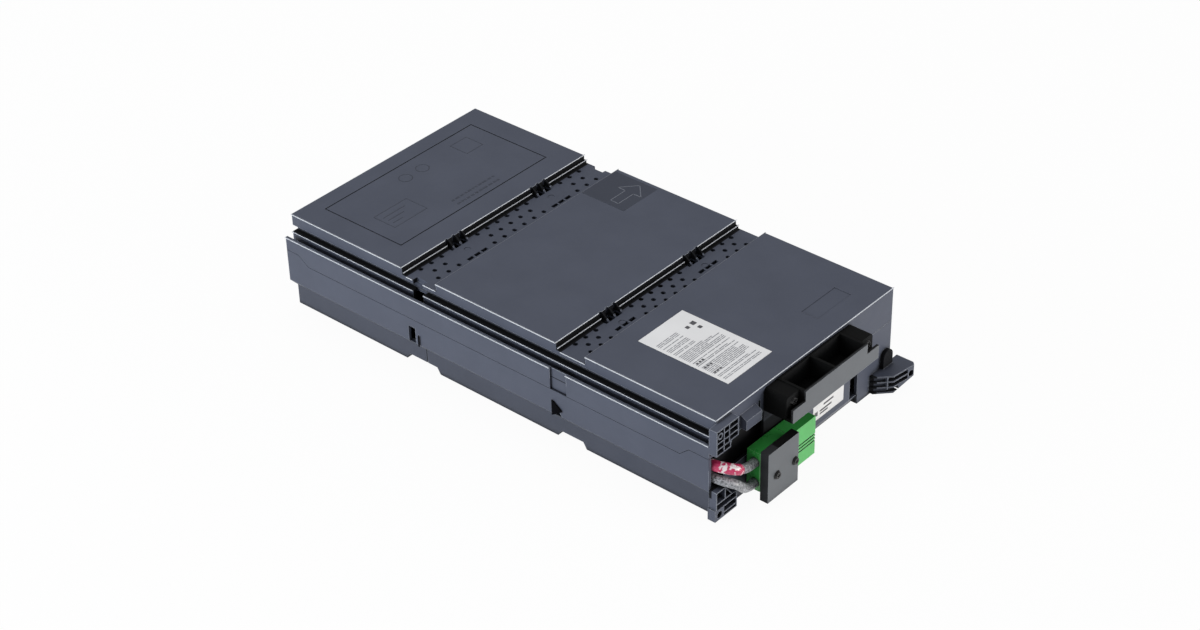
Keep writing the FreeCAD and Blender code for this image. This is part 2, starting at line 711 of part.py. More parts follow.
def tray_front(body):
    """Openings and sunk fields in the front wall, and the two studs that carry the plug."""
    exit_hole = new_sketch(body, "XZ_Plane", LENGTH)
    rectangle(exit_hole, negative(WING + " - exit_left"), negative(WING + " - exit_left - exit_width"),
              TOP + " - exit_low_drop", TRAY_TOP_Z + " + " + PAST)
    rectangle(exit_hole, "slot_left", "slot_right", TOP + " - slot_bottom_drop", TOP + " - slot_top_drop")
    cut(body, exit_hole, "tray_wall")
    bay = new_sketch(body, "XZ_Plane", LENGTH)
    rectangle(bay, negative("bay_left + exit_left"), negative("bay_right"),
              TOP + " - bay_low_drop", TRAY_TOP_Z + " + " + PAST)
    cut(body, bay, "tray_wall")
    relief = new_sketch(body, "YZ_Plane", negative("relief_left"))
    polygon(relief, [
        (negative(LENGTH + " + " + PAST), "relief_height"), (negative(LENGTH), "relief_height"),
        (negative(LENGTH + " - relief_depth"), "0"), (negative(LENGTH + " - relief_depth"), "-" + PAST),
        (negative(LENGTH + " + " + PAST), "-" + PAST),
    ])
    cut(body, relief, "relief_left + relief_right", along=True)
    seat = new_sketch(body, "XZ_Plane", LENGTH)
    rectangle(seat, "front_label_left", "front_label_right",
              TOP + " - front_label_bottom_drop", TOP + " - front_label_top_drop")
    cut(body, seat, "label_thickness")
    studs = new_sketch(body, "XZ_Plane", LENGTH)
    for place in ("stud_left", "stud_right"):
        circle(studs, negative(place), "stud_rise", "stud_radius")
    pad(body, studs, "plug_front - seam_gap")
    pilots = new_sketch(body, "XZ_Plane", LENGTH + " + plug_front")
    for place in ("stud_left", "stud_right"):
        circle(pilots, negative(place), "stud_rise", "screw_radius")
    cut(body, pilots, "screw_length - plate_thickness + " + PAST)


def tray_left_foot(body):
    """Ribbed corner block below the lead exit, with a boss and a foot that stands proud."""
    plate = new_sketch(body, "XZ_Plane", LENGTH)
    polygon(plate, [
        (negative(WING), TOP + " - foot_top_drop"), (negative("foot_apex"), TOP + " - foot_top_drop"),
        (negative("foot_shoulder_x"), TOP + " - foot_shoulder_drop"),
        (negative("foot_inner"), TOP + " - foot_shoulder_drop"),
        (negative("foot_inner"), TOP + " - foot_bottom_drop"),
        (negative(WING + " + foot_proud"), TOP + " - foot_bottom_drop"),
        (negative(WING + " + foot_proud"), TOP + " - foot_step_drop"),
        (negative(WING), TOP + " - foot_step_drop"),
    ])
    pad(body, plate, "block_reach")
    cells = new_sketch(body, "XZ_Plane", LENGTH + " + block_reach")
    rib = "block_rib"
    left = negative(WING + " - " + rib)
    middle = "foot_apex + %s/2" % rib
    rectangle(cells, left, negative(middle), TOP + " - foot_shoulder_drop + %s/2" % rib,
              TOP + " - foot_top_drop - " + rib)
    polygon(cells, [
        (negative("foot_apex - %s/2" % rib), TOP + " - foot_top_drop - 2*" + rib),
        (negative("foot_apex - %s/2" % rib), TOP + " - foot_shoulder_drop + %s/2" % rib),
        (negative("foot_shoulder_x + " + rib), TOP + " - foot_shoulder_drop + %s/2" % rib),
    ])
    rectangle(cells, left, negative("foot_inner + " + rib), TOP + " - foot_rib_drop + %s/2" % rib,
              TOP + " - foot_shoulder_drop - %s/2" % rib)
    rectangle(cells, negative(WING + " - 3.2*boss_radius"), negative("foot_inner + " + rib),
              TOP + " - foot_rib_low_drop + %s/2" % rib, TOP + " - foot_rib_drop - %s/2" % rib)
    rectangle(cells, negative(WING + " - 3.2*boss_radius"), negative("foot_inner + " + rib),
              TOP + " - foot_bottom_drop + " + rib, TOP + " - foot_rib_low_drop - %s/2" % rib)
    circle(cells, negative(WING + " - 1.4*boss_radius"),
           "%s - (foot_rib_drop + foot_bottom_drop)/2" % TOP, "boss_radius")
    cut(body, cells, "block_cell_depth")


def tray_right_foot(body):
    """Swept-forward foot: an outline in plan, lifted below its tip, opened from the front into ribs."""
    outline = new_sketch(body, "XY_Plane", TOP + " - arm_bottom_drop")
    tip = "(%s + foot_proud)" % WING
    polygon(outline, [
        ("arm_left", negative(LENGTH)), (tip, negative(LENGTH)),
        (tip, negative(LENGTH + " + arm_tip_reach - 2*arm_rib")),
        (tip + " - 2*arm_rib", negative(LENGTH + " + arm_tip_reach")),
        ("arm_knee", negative(LENGTH + " + arm_reach")),
        ("arm_left", negative(LENGTH + " + arm_reach/4")),
    ])
    pad(body, outline, "arm_bottom_drop - arm_top_drop")
    under = new_sketch(body, "XZ_Plane", LENGTH + " + " + PAST)
    polygon(under, [
        ("arm_knee", TOP + " - arm_bottom_drop"), (tip + " + " + PAST, TOP + " - arm_bottom_drop"),
        (tip + " + " + PAST, TOP + " - arm_bottom_drop + arm_tip_lift"),
    ])
    cut(body, under, "arm_tip_reach + " + PAST, along=True)
    height = "(arm_bottom_drop - arm_top_drop)"
    for level in range(3):
        base = "%s - arm_bottom_drop + arm_rib + %d*(%s - arm_rib)/3" % (TOP, level, height)
        slots = new_sketch(body, "XY_Plane", base)
        far = "arm_knee + arm_cell_depth" if level == 0 else tip + " - 1.65*arm_cell_depth"
        polygon(slots, [
            ("arm_left - " + PAST, negative(LENGTH + " + arm_reach/4 - arm_cell_depth + arm_rib")),
            ("arm_knee - arm_cell_depth/2", negative(LENGTH + " + arm_reach - arm_cell_depth")),
            (far, negative(LENGTH + " + arm_tip_reach - arm_cell_depth")),
            (far, negative(LENGTH + " + arm_tip_reach + " + PAST)),
            ("arm_knee - arm_cell_depth/2", negative(LENGTH + " + arm_tip_reach + " + PAST)),
            ("arm_left - " + PAST, negative(LENGTH + " + arm_reach")),
        ])
        cut(body, slots, "(%s - arm_rib)/3 - arm_rib" % height, along=True)
    rib = new_sketch(body, "XZ_Plane", LENGTH)
    rectangle(rib, "arm_post - arm_rib/2", "arm_post + arm_rib/2",
              TOP + " - arm_bottom_drop + arm_rib + arm_tip_lift/3", TOP + " - arm_top_drop")
    pad(body, rib, "0.78*arm_reach")
    hole = new_sketch(body, "XZ_Plane", LENGTH + " + arm_tip_reach")
    circle(hole, tip + " - arm_cell_depth", TOP + " - (arm_top_drop + arm_bottom_drop)/2 + arm_rib",
           "boss_radius")
    cut(body, hole, "arm_cell_depth")
    post = new_sketch(body, "XZ_Plane", LENGTH)
    rectangle(post, "post_left", "post_right", TOP + " - arm_top_drop - " + PAST,
              TOP + " - post_top_drop - (post_right - post_left)/2")
    pad(body, post, "post_reach")
    crown = new_sketch(body, "XZ_Plane", LENGTH)
    circle(crown, "(post_left + post_right)/2", TOP + " - post_top_drop - (post_right - post_left)/2",
           "(post_right - post_left)/2")
    pad(body, crown, "post_reach")


def make_tray():
    body = new_body("base_tray")
    tray_shell(body)
    tray_underside(body)
    tray_wing(body)
    tray_front(body)
    tray_left_foot(body)
    tray_right_foot(body)
    return body


# Batteries: sealed blocks that lie on one side, terminals towards the nearest strip
def make_battery(number, middle, start, faces_rear):
    label = "battery_%d" % number
    body = document.addObject("PartDesign::Body", label)
    body.Label = label
    case = new_sketch(body, "XZ_Plane")
    rectangle(case, "-battery_width/2", "battery_width/2", "0", "battery_height")
    block = pad(body, case, "battery_length")
    long_edges = []
    for index, edge in enumerate(block.Shape.Edges, start=1):
        ends = [vertex.Point for vertex in edge.Vertexes]
        if abs(abs(ends[0].y - ends[1].y) - size_of("battery_length")) < 1e-6:
            long_edges.append("Edge%d" % index)
    rounded = body.newObject("PartDesign::Fillet", "rounded")
    rounded.Base = (block, long_edges)
    rounded.setExpression("Radius", bound("battery_round"))
    document.recompute()
    line = new_sketch(body, "XZ_Plane", "battery_length - battery_lid")
    rectangle(line, "-battery_width/2 - 1", "battery_width/2 + 1", "-1", "battery_height + 1")
    rectangle(line, "-battery_width/2 + lid_line_depth", "battery_width/2 - lid_line_depth",
              "lid_line_depth", "battery_height - lid_line_depth")
    cut(body, line, "lid_line", along=True)
    turn = 180 if faces_rear else 0
    body.Placement = FreeCAD.Placement(FreeCAD.Vector(), FreeCAD.Rotation(FreeCAD.Vector(0, 0, 1), turn))
    body.setExpression("Placement.Base.x", bound(middle))
    reach = " - battery_length" if faces_rear else ""
    body.setExpression("Placement.Base.y", bound("%s/2 - (%s)%s" % (OVERALL, start, reach)))
    body.setExpression("Placement.Base.z", bound("tray_wall + foam_under"))
    return body


BATTERY_MIDDLE = "((battery_width + battery_gap)/2)"
# Number, middle across, start behind which the battery lies, terminals towards the rear
BATTERIES = [
    (1, "-" + BATTERY_MIDDLE, "battery_rear_gap", False),
    (2, BATTERY_MIDDLE, "battery_rear_gap", False),
    (3, "-" + BATTERY_MIDDLE, "second_battery_start", True),
    (4, BATTERY_MIDDLE, "second_battery_start", True),
    (5, "-" + BATTERY_MIDDLE, "third_battery_start", True),
    (6, BATTERY_MIDDLE, "third_battery_start", True),
]


def coded(label, shape):
    """A piece whose shape the code sets from the sheet, placed as the bodies are."""
    feature = document.addObject("Part::Feature", label)
    feature.Label = label
    feature.Shape = shape
    feature.Placement.Base = FreeCAD.Vector(0, size_of(OVERALL + "/2"), 0)
    return feature


def terminal_places():
    """Middle of each blade's foot, with +1 or -1 for the way it points along Y."""
    places = []
    for number, middle, start, faces_rear in BATTERIES:
        way = 1 if faces_rear else -1
        face = size_of(start) if faces_rear else size_of(start + " + battery_length")
        for side in (-1, 1):
            across = size_of(middle) + side * size_of("terminal_spread")
            rise = size_of("tray_wall + foam_under + terminal_rise")
            places.append((FreeCAD.Vector(across, -face, rise), way))
    return places


def block_at(width, depth, height, middle, way):
    """A box that starts at a point and reaches along Y, centred across and in height."""
    low = middle.y if way > 0 else middle.y - depth
    return Part.makeBox(width, depth, height,
                        FreeCAD.Vector(middle.x - width / 2, low, middle.z - height / 2))


def make_terminals():
    """Twelve blades, and twelve push-on lugs that take them in a slot."""
    blades = []
    lugs = []
    for foot, way in terminal_places():
        blade = block_at(size_of("blade_width"), size_of("blade_length"), size_of("blade_thickness"), foot, way)
        blades.append(blade)
        gap = size_of("lug_clearance")
        start = FreeCAD.Vector(foot.x, foot.y + way * gap, foot.z)
        lug = block_at(size_of("lug_width"), size_of("lug_length"), size_of("lug_height"), start, way)
        slot = block_at(size_of("blade_width") + 2 * gap, size_of("blade_length") + gap,
                        size_of("blade_thickness") + 2 * gap, foot, way)
        lugs.append(lug.cut(slot))
    coded("battery_blades", Part.makeCompound(blades))
    coded("push_on_lugs", Part.makeCompound(lugs))


def rounded_path(points, share=0.45):
    """Straight runs joined by tangent arcs as large as the runs allow, and the smallest radius."""
    edges = []
    radii = []
    start = points[0]
    for index in range(1, len(points) - 1):
        before, here, after = points[index - 1], points[index], points[index + 1]
        way_in = (here - before).normalize()
        way_out = (after - here).normalize()
        turn = way_in.getAngle(way_out)
        if turn < 0.002:
            continue
        trim = share * min((here - before).Length, (after - here).Length)
        first = here - way_in * trim
        last = here + way_out * trim
        radius = trim / math.tan(turn / 2)
        inward = (way_out - way_in).normalize()
        centre = here + inward * math.hypot(trim, radius)
        middle = centre + (here - centre).normalize() * radius
        edges.append(Part.LineSegment(start, first).toShape())
        edges.append(Part.Arc(first, middle, last).toShape())
        radii.append(radius)
        start = last
    edges.append(Part.LineSegment(start, points[-1]).toShape())
    return Part.Wire(edges), min(radii, default=0)


def section(centre, heading, radius):
    """A many-sided outline square to a heading, with its corners on the radius, and its area."""
    circle_line = Part.Circle(centre, heading, radius)
    corners = [circle_line.value(2 * math.pi * step / LEAD_SIDES) for step in range(LEAD_SIDES)]
    area = 0.5 * LEAD_SIDES * radius ** 2 * math.sin(2 * math.pi / LEAD_SIDES)
    return Part.makePolygon(corners + [corners[0]]), area


def tube(label, points, radius):
    """A round solid along the rounded path, with its volume held against section times length."""
    path, tightest = rounded_path(points)
    heading = (points[1] - points[0]).normalize()
    ring, area = section(points[0], heading, radius)
    solid = path.makePipeShell([ring], True, False)
    expected = area * path.Length
    print("%s: length %.1f, radius %.1f, tightest bend %.1f" % (label, path.Length, radius, tightest))
    if abs(solid.Volume - expected) > 0.01 * expected:
        raise RuntimeError("%s: the volume is off its section times its length" % label)
    return solid


def lug_end(battery, side):
    """Where a lead leaves the lug on one blade of a battery, and which way."""
    foot, way = terminal_places()[2 * (battery - 1) + (0 if side < 0 else 1)]
    reach = size_of("lug_clearance + lug_length")
    return FreeCAD.Vector(foot.x, foot.y + way * reach, foot.z), way


def loop_points(first, second, way, reach):
    """A short loop from one lug to the next on the same face."""
    out = FreeCAD.Vector(0, way * reach, 0)
    return [first, first + out, second + out, second]


def lead_points():
    """Routes of the links and leads, by piece: points chosen along the real way of each."""
    rise = lug_end(1, -1)[0].z
    channel = -size_of("channel_x")
    length = size_of(LENGTH)
    upper = size_of("upper_lead_z")
    lower = size_of("lower_lead_z")
    between = size_of("link_z")
    contact_high = size_of("contact_centre + contact_spread")
    contact_low = size_of("contact_centre - contact_spread")
    plug_x = -size_of("plug_left")
    contact_x = -size_of("plug_left - 2*lead_radius")
    plug_y = -length - size_of("(plug_rear_gap + plug_front)/2")
    fuse_y = -size_of("fuse_y")
    fuse_half = size_of("fuse_length/2")
    point = FreeCAD.Vector
    routes = {}
    routes["link_lead_1"] = loop_points(lug_end(1, 1)[0], lug_end(2, -1)[0], -1, 7.5)
    routes["link_lead_2"] = [lug_end(2, 1)[0], lug_end(4, 1)[0]]
    routes["link_lead_3"] = loop_points(lug_end(4, -1)[0], lug_end(3, 1)[0], 1, 7.5)
    start = lug_end(3, -1)[0]
    end = lug_end(5, -1)[0]
    routes["link_lead_4"] = [
        start, point(start.x, start.y + 6, rise), point(start.x - 5, start.y + 7, rise - 5),
        point(start.x - 11.5, start.y + 4, between + 0.8), point(channel, start.y - 6, between),
        point(channel, start.y - 28, between), point(channel, end.y + 30, between),
        point(end.x - 11.5, end.y + 10.5, between + 0.8), point(end.x - 5, end.y + 8.5, rise - 5),
        point(end.x, end.y + 7.5, rise), end,
    ]
    routes["link_lead_5"] = loop_points(lug_end(5, 1)[0], lug_end(6, -1)[0], 1, 7.5)
    start = lug_end(1, -1)[0]
    routes["positive_lead"] = [
        start, point(start.x, start.y - 7, rise), point(start.x - 4.5, start.y - 10, rise - 5.5),
        point(start.x - 11.5, start.y - 14, rise - 16.5), point(channel, start.y - 25, upper + 1),
        point(channel, start.y - 50, upper), point(channel, -length + 30, upper),
        point(channel, -length - 2, upper + 3), point(channel + 7, -length - 12, upper + 1),
        point(plug_x - 9, plug_y, contact_high), point(contact_x, plug_y, contact_high),
    ]
    end = lug_end(6, 1)[0]
    routes["fuse_lead"] = [
        end, point(end.x, end.y + 8.5, rise), point(end.x - 18, fuse_y, rise),
        point(fuse_half, fuse_y, rise),
    ]
    routes["negative_lead"] = [
        point(-fuse_half, fuse_y, rise), point(-fuse_half - 14, fuse_y, rise),
        point(-60, fuse_y + 0.5, rise - 8), point(-84, fuse_y - 2, lower + 5),
        point(channel, fuse_y - 17, lower), point(channel, fuse_y - 40, lower),
        point(channel, -length + 30, lower), point(channel, -length - 3, lower),
        point(channel + 8, -length - 12.5, lower - 4), point(plug_x - 10, plug_y, contact_low),
        point(contact_x, plug_y, contact_low),
    ]
    return routes


def bend_sleeve(points, place, inner, outer):
    """A sleeve round the bend of a lead nearest to a place, the run after it and the next bend."""
    edges = rounded_path(points)[0].Edges
    bends = [number for number, edge in enumerate(edges) if isinstance(edge.Curve, Part.Circle)]
    spot = Part.Vertex(place)
    first = min(bends, key=lambda number: edges[number].distToShape(spot)[0])
    covered = Part.Wire(edges[first:first + 3])
    start = edges[first].valueAt(edges[first].FirstParameter)
    heading = edges[first].tangentAt(edges[first].FirstParameter)
    solids = []
    for radius in (outer, inner):
        ring = section(start, heading, radius)[0]
        solids.append(covered.makePipeShell([ring], True, False))
    return solids[0].cut(solids[1])


def make_leads():
    radii = {"positive_lead": "lead_radius", "negative_lead": "lead_radius", "fuse_lead": "lead_radius"}
    routes = lead_points()
    for label, points in routes.items():
        radius = size_of(radii.get(label, "link_radius"))
        coded(label, tube(label, points, radius))
    inner = size_of("lead_radius + sleeve_clearance")
    outer = size_of("lead_radius + sleeve_clearance + sleeve_wall")
    run = routes["positive_lead"]
    coded("marker_sleeve", bend_sleeve(run, run[7], inner, outer))


def make_fuse():
    """In-line fuse holder on the negative side, across strip two."""
    body = new_body("fuse_holder")
    outline = new_sketch(body, "XZ_Plane", "fuse_y - fuse_width/2")
    rise = "(tray_wall + foam_under + terminal_rise)"
    rectangle(outline, "-fuse_length/2 + 0.1", "fuse_length/2 - 0.1",
              rise + " - fuse_width/2", rise + " + fuse_width/2")
    pad(body, outline, "fuse_width")
    line = new_sketch(body, "YZ_Plane", "-lid_line/2")
    rectangle(line, negative("fuse_y + fuse_width"), negative("fuse_y - fuse_width"),
              rise + " - fuse_width", rise + " + fuse_width")
    rectangle(line, negative("fuse_y + fuse_width/2 - lid_line"), negative("fuse_y - fuse_width/2 + lid_line"),
              rise + " - fuse_width/2 + lid_line", rise + " + fuse_width/2 - lid_line")
    cut(body, line, "lid_line", along=True)
    return body


def make_foam():
    """A foam sheet under each pair of batteries, and one above it."""
    starts = ["battery_rear_gap", "second_battery_start", "third_battery_start"]
    battery_top = "(tray_wall + foam_under + battery_height)"
    for number, start in enumerate(starts, start=1):
        for label, low, height in (
            ("lower_foam_%d" % number, "tray_wall", "foam_under"),
            ("upper_foam_%d" % number, battery_top, "%s - cover_wall - %s" % (TOP, battery_top)),
        ):
            body = new_body(label)
            outline = new_sketch(body, "XY_Plane", low)
            first = start if number == 1 else start + " + 4"
            rectangle(outline, negative("battery_width - 4"), "battery_width - 4",
                      negative(start + " + battery_length - 4"), negative(first + " + 4"))
            pad(body, outline, height)


# Plug connector: two shells held against the tray's studs by a plate and two screws
def shell_outline(sketch, left, right):
    rectangle(sketch, negative(left), negative(right), negative(LENGTH + " + plug_front"),
              negative(LENGTH + " + plug_rear_gap"))


def make_plug():
    rear = new_body("plug_rear_shell")
    outline = new_sketch(rear, "XY_Plane", "plug_bottom")
    polygon(outline, [
        (negative("plug_left"), negative(LENGTH + " + plug_rear_gap")),
        (negative("plug_left"), negative(LENGTH + " + plug_front - stud_radius")),
        (negative("plug_left - stud_radius/2"), negative(LENGTH + " + plug_front")),
        (negative("plug_seam + plug_split"), negative(LENGTH + " + plug_front")),
        (negative("plug_seam + plug_split"), negative(LENGTH + " + plug_rear_gap")),
    ])
    pad(rear, outline, "plug_height")
    holes = new_sketch(rear, "XZ_Plane", LENGTH + " + plug_front")
    for place in ("stud_left", "stud_right"):
        circle(holes, negative(place), "stud_rise", "stud_radius + lug_clearance")
    cut(rear, holes, "plug_front")
    middle = negative(LENGTH + " + (plug_front + plug_rear_gap)/2")
    entries = new_sketch(rear, "YZ_Plane", negative("plug_left"))
    for way in ("+", "-"):
        circle(entries, middle, "contact_centre %s contact_spread" % way,
               "lead_radius + lug_clearance")
    cut(rear, entries, "2*lead_radius", along=True)
    bores = new_sketch(rear, "YZ_Plane", negative("plug_seam + plug_split"))
    for way in ("+", "-"):
        circle(bores, middle, "contact_centre %s contact_spread" % way,
               "contact_radius + lug_clearance")
    cut(rear, bores, "plug_left - plug_seam - plug_split - 2*lead_radius")
    front = new_body("plug_front_shell")
    outline = new_sketch(front, "XY_Plane", "plug_bottom")
    shell_outline(outline, "plug_seam", "plug_right")
    pad(front, outline, "plug_height")
    mouth = new_sketch(front, "YZ_Plane", negative("plug_right"))
    rectangle(mouth, negative(LENGTH + " + plug_front - 2.4"), negative(LENGTH + " + plug_rear_gap + 2.4"),
              "plug_bottom + 2.6", "plug_bottom + plug_height - 2.6")
    cut(front, mouth, "plug_seam - plug_right - 10")
    bores = new_sketch(front, "YZ_Plane", negative("plug_seam"))
    for way in ("+", "-"):
        circle(bores, middle, "contact_centre %s contact_spread" % way,
               "contact_radius + lug_clearance")
    cut(front, bores, "plug_seam - plug_right", along=True)
    ribs = new_sketch(front, "YZ_Plane", negative("plug_seam - 1"))
    for level in (-1, 0, 1):
        low = "contact_centre - 1.5 + (%d)*2.7" % level
        rectangle(ribs, negative(LENGTH + " + plug_front + 1"), negative(LENGTH + " + plug_front - 1.4"),
                  low, low + " + 1.1")
    cut(front, ribs, "plug_seam - plug_right", along=True)
    contacts = new_body("plug_contacts")
    contacts.AllowCompound = True
    pins = new_sketch(contacts, "YZ_Plane", negative("plug_left - 2*lead_radius"))
    for way in ("+", "-"):
        circle(pins, middle, "contact_centre %s contact_spread" % way, "contact_radius")
    pad(contacts, pins, "plug_left - 2*lead_radius - plug_right - 6")
    plate = new_body("plug_plate")
    face = new_sketch(plate, "XZ_Plane", LENGTH + " + plug_front")
    rectangle(face, negative("plate_left"), negative("plate_right"),
              "plate_bottom", "plate_bottom + plate_height")
    pad(plate, face, "plate_thickness")
    holes = new_sketch(plate, "XZ_Plane", LENGTH + " + plug_front + plate_thickness")
    for place in ("stud_left", "stud_right"):
        circle(holes, negative(place), "stud_rise", "screw_radius + lug_clearance")
    cut(plate, holes, "plate_thickness")


def screw_shape(middle, length):
    """A pan-head screw that points to the rear, with a cross recess in its head."""
    head_radius = size_of("screw_head_radius")
    head_height = size_of("screw_head_height")
    inward = FreeCAD.Vector(0, 1, 0)
    shank = Part.makeCylinder(size_of("screw_radius - 0.05"), length, middle, inward)
    dome = Part.makeCone(head_radius, 0.72 * head_radius, head_height, middle, FreeCAD.Vector(0, -1, 0))
    bar = 0.9
    depth = 1.1
    for width, height in ((bar, 3.4), (3.4, bar)):
        low = FreeCAD.Vector(middle.x - width / 2, middle.y - head_height, middle.z - height / 2)
        dome = dome.cut(Part.makeBox(width, depth, height, low))
    return shank.fuse(dome)


def make_screws():
    length = size_of(LENGTH)
    face = -length - size_of("plug_front + plate_thickness")
    places = [FreeCAD.Vector(-size_of(name), face, size_of("stud_rise")) for name in ("stud_left", "stud_right")]
    reach = size_of("screw_length")
    coded("plate_screws", Part.makeCompound([screw_shape(place, reach) for place in places]))
    face = -length - size_of("handle_end_reach")
    rise = size_of(TOP + " - handle_screw_drop")
    across = size_of("handle_screw_x")
    places = [FreeCAD.Vector(side * across, face, rise) for side in (-1, 1)]
    reach = size_of("handle_screw_length")
    coded("handle_screws", Part.makeCompound([screw_shape(place, reach) for place in places]))


# Finger handle: a trough in two bays with a low front band and a screwed block at each end
def make_handle():
    body = new_body("pull_handle")
    low = TOP + " - handle_bottom_drop"
    high = TOP + " - handle_top_drop"
    floor = new_sketch(body, "XY_Plane", low)
    rectangle(floor, "-handle_end_half", "handle_end_half", negative(OVERALL), negative(LENGTH))
    pad(body, floor, "handle_wall")
    trough = new_sketch(body, "XY_Plane", low)
    rectangle(trough, "-handle_half", "handle_half", negative(OVERALL), negative(LENGTH))
    pad(body, trough, "handle_bottom_drop - handle_top_drop")
    ends = new_sketch(body, "XZ_Plane", LENGTH)
    end_top = TOP + " - handle_end_drop"
    for side in ("-", ""):
        polygon(ends, [
            (side + "(handle_half - handle_wall)", low), (side + "(handle_half - handle_wall)", end_top),
            (side + "(handle_end_half - handle_end_round)", end_top),
            (side + "(handle_end_half - 0.3*handle_end_round)", end_top + " - 0.3*handle_end_round"),
            (side + "handle_end_half", end_top + " - handle_end_round"),
            (side + "handle_end_half", low),
        ])
    pad(body, ends, "handle_end_reach")
    band = new_sketch(body, "XZ_Plane", OVERALL + " - handle_wall")
    rectangle(band, "-handle_end_half", "handle_end_half", low, TOP + " - handle_band_drop")
    pad(body, band, "handle_wall")
    bays = new_sketch(body, "XY_Plane", high)
    shelves = new_sketch(body, "XY_Plane", high)
    for side in ("-", ""):
        near = side + "handle_wall/2"
        far = side + "(handle_half - handle_wall)"
        left, right = (far, near) if side else (near, far)
        rectangle(bays, left, right, negative(OVERALL + " - handle_wall - handle_shelf"),
                  negative(LENGTH + " + handle_wall"))
        rectangle(shelves, left, right, negative(OVERALL + " - handle_wall"),
                  negative(OVERALL + " - handle_wall - handle_shelf"))
    cut(body, bays, "handle_bottom_drop - handle_top_drop - handle_wall")
    cut(body, shelves, "handle_shelf_drop - handle_top_drop")
    holes = new_sketch(body, "XZ_Plane", LENGTH + " + handle_end_reach")
    for side in ("-", ""):
        circle(holes, side + "handle_screw_x", TOP + " - handle_screw_drop", "screw_radius + lug_clearance")
    cut(body, holes, "handle_end_reach")


def make_labels():
    top = new_body("top_label")
    sheet_outline = new_sketch(top, "XY_Plane", TOP + " - label_thickness")
    rectangle(sheet_outline, negative("label_left - lug_clearance"), negative("label_right + lug_clearance"),
              negative("label_start + label_length - lug_clearance"),
              negative("label_start + lug_clearance"))
    pad(top, sheet_outline, "label_thickness")
    front = new_body("front_label")
    sheet_outline = new_sketch(front, "XZ_Plane", LENGTH + " - label_thickness")
    rectangle(sheet_outline, "front_label_left + lug_clearance", "front_label_right - lug_clearance",
              TOP + " - front_label_bottom_drop + lug_clearance",
              TOP + " - front_label_top_drop - lug_clearance")
    pad(front, sheet_outline, "label_thickness")


def check_objects():
    """Stops on any object that failed, and on any piece with a missing or faulty shape."""
    for item in document.Objects:
        if "Invalid" in item.State or "Error" in item.State:
            raise RuntimeError("%s failed: %s" % (item.Label, item.State))
    pieces = [item for item in document.Objects if item.TypeId == "PartDesign::Body"]
    pieces += [item for item in document.Objects if item.TypeId == "Part::Feature"]
    for piece in pieces:
        if piece.Shape.isNull() or not piece.Shape.isValid():
            raise RuntimeError("%s has a faulty shape" % piece.Label)
    return pieces


make_tray()
make_lid()
for settings in BATTERIES:
    make_battery(*settings)
make_terminals()
make_leads()
make_fuse()
make_foam()
make_plug()
make_handle()
make_screws()
make_labels()
document.recompute()
os.makedirs("parts", exist_ok=True)
for piece in check_objects():
    piece.Shape.exportStep("parts/%s.step" % piece.Label)
    print(piece.Label, "solids", len(piece.Shape.Solids), "volume %.1f" % piece.Shape.Volume)
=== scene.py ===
import json
import math
import random
import bpy
from mathutils import Matrix, Vector


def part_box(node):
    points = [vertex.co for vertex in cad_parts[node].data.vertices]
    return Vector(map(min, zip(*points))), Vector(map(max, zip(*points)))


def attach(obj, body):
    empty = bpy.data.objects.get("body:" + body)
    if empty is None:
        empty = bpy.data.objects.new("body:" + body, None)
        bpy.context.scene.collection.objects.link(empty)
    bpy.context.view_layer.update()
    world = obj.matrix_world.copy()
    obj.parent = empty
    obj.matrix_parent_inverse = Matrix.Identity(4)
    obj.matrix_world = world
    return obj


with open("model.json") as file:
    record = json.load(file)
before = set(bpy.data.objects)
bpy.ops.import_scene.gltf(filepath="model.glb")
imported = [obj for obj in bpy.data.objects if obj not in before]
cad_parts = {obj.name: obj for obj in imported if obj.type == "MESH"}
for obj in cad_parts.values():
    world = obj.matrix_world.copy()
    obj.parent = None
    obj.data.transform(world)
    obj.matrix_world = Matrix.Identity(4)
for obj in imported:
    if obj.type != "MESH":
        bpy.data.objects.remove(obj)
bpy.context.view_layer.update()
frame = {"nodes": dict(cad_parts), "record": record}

MM = 0.001
# Sizes that the drawn details share with the part, in millimetres
TOP = 77.6
REAR = 209.5
FRONT = -395
PADS = ((-112, 0), (-257, -145), (FRONT, -283))
PAD_HALF = 99
STEPS = (-112, -257)
CLIP_GAPS = ((-PAD_HALF, -53.7), (-36.7, 36.7), (53.7, PAD_HALF))
LEDGE = 2.2
NOTCH = (-132.7, -122.7)
PANEL = (-272, -257.5)
WING_X = -107
RIDGE_X = -99.5
# How far below the top each level lies
LEDGE_DROP = 3.4
STRIP_DROP = 5.8
RIDGE_DROP = 14.7
WING_DROP = 16
GROOVE_DROP = 24.5
BEND_DROP = 54
# How far a painted edge highlight bar stands out from its wall, and how deep it goes into it
PROUD = 0.08
SUNK = 0.3


def place(x, y, drop):
    """A point in metres from millimetres, with y counted from the rear end and the drop from the top."""
    return Vector((x * MM, (REAR + y) * MM, (TOP - drop) * MM))


# Materials
def material(name, build):
    """A new material whose shader is set by the build function."""
    made = bpy.data.materials.new(name)
    made.use_nodes = True
    tree = made.node_tree
    tree.nodes.clear()
    out = tree.nodes.new("ShaderNodeOutputMaterial")
    shader = tree.nodes.new("ShaderNodeBsdfPrincipled")
    tree.links.new(shader.outputs["BSDF"], out.inputs["Surface"])
    build(tree, shader)
    return made


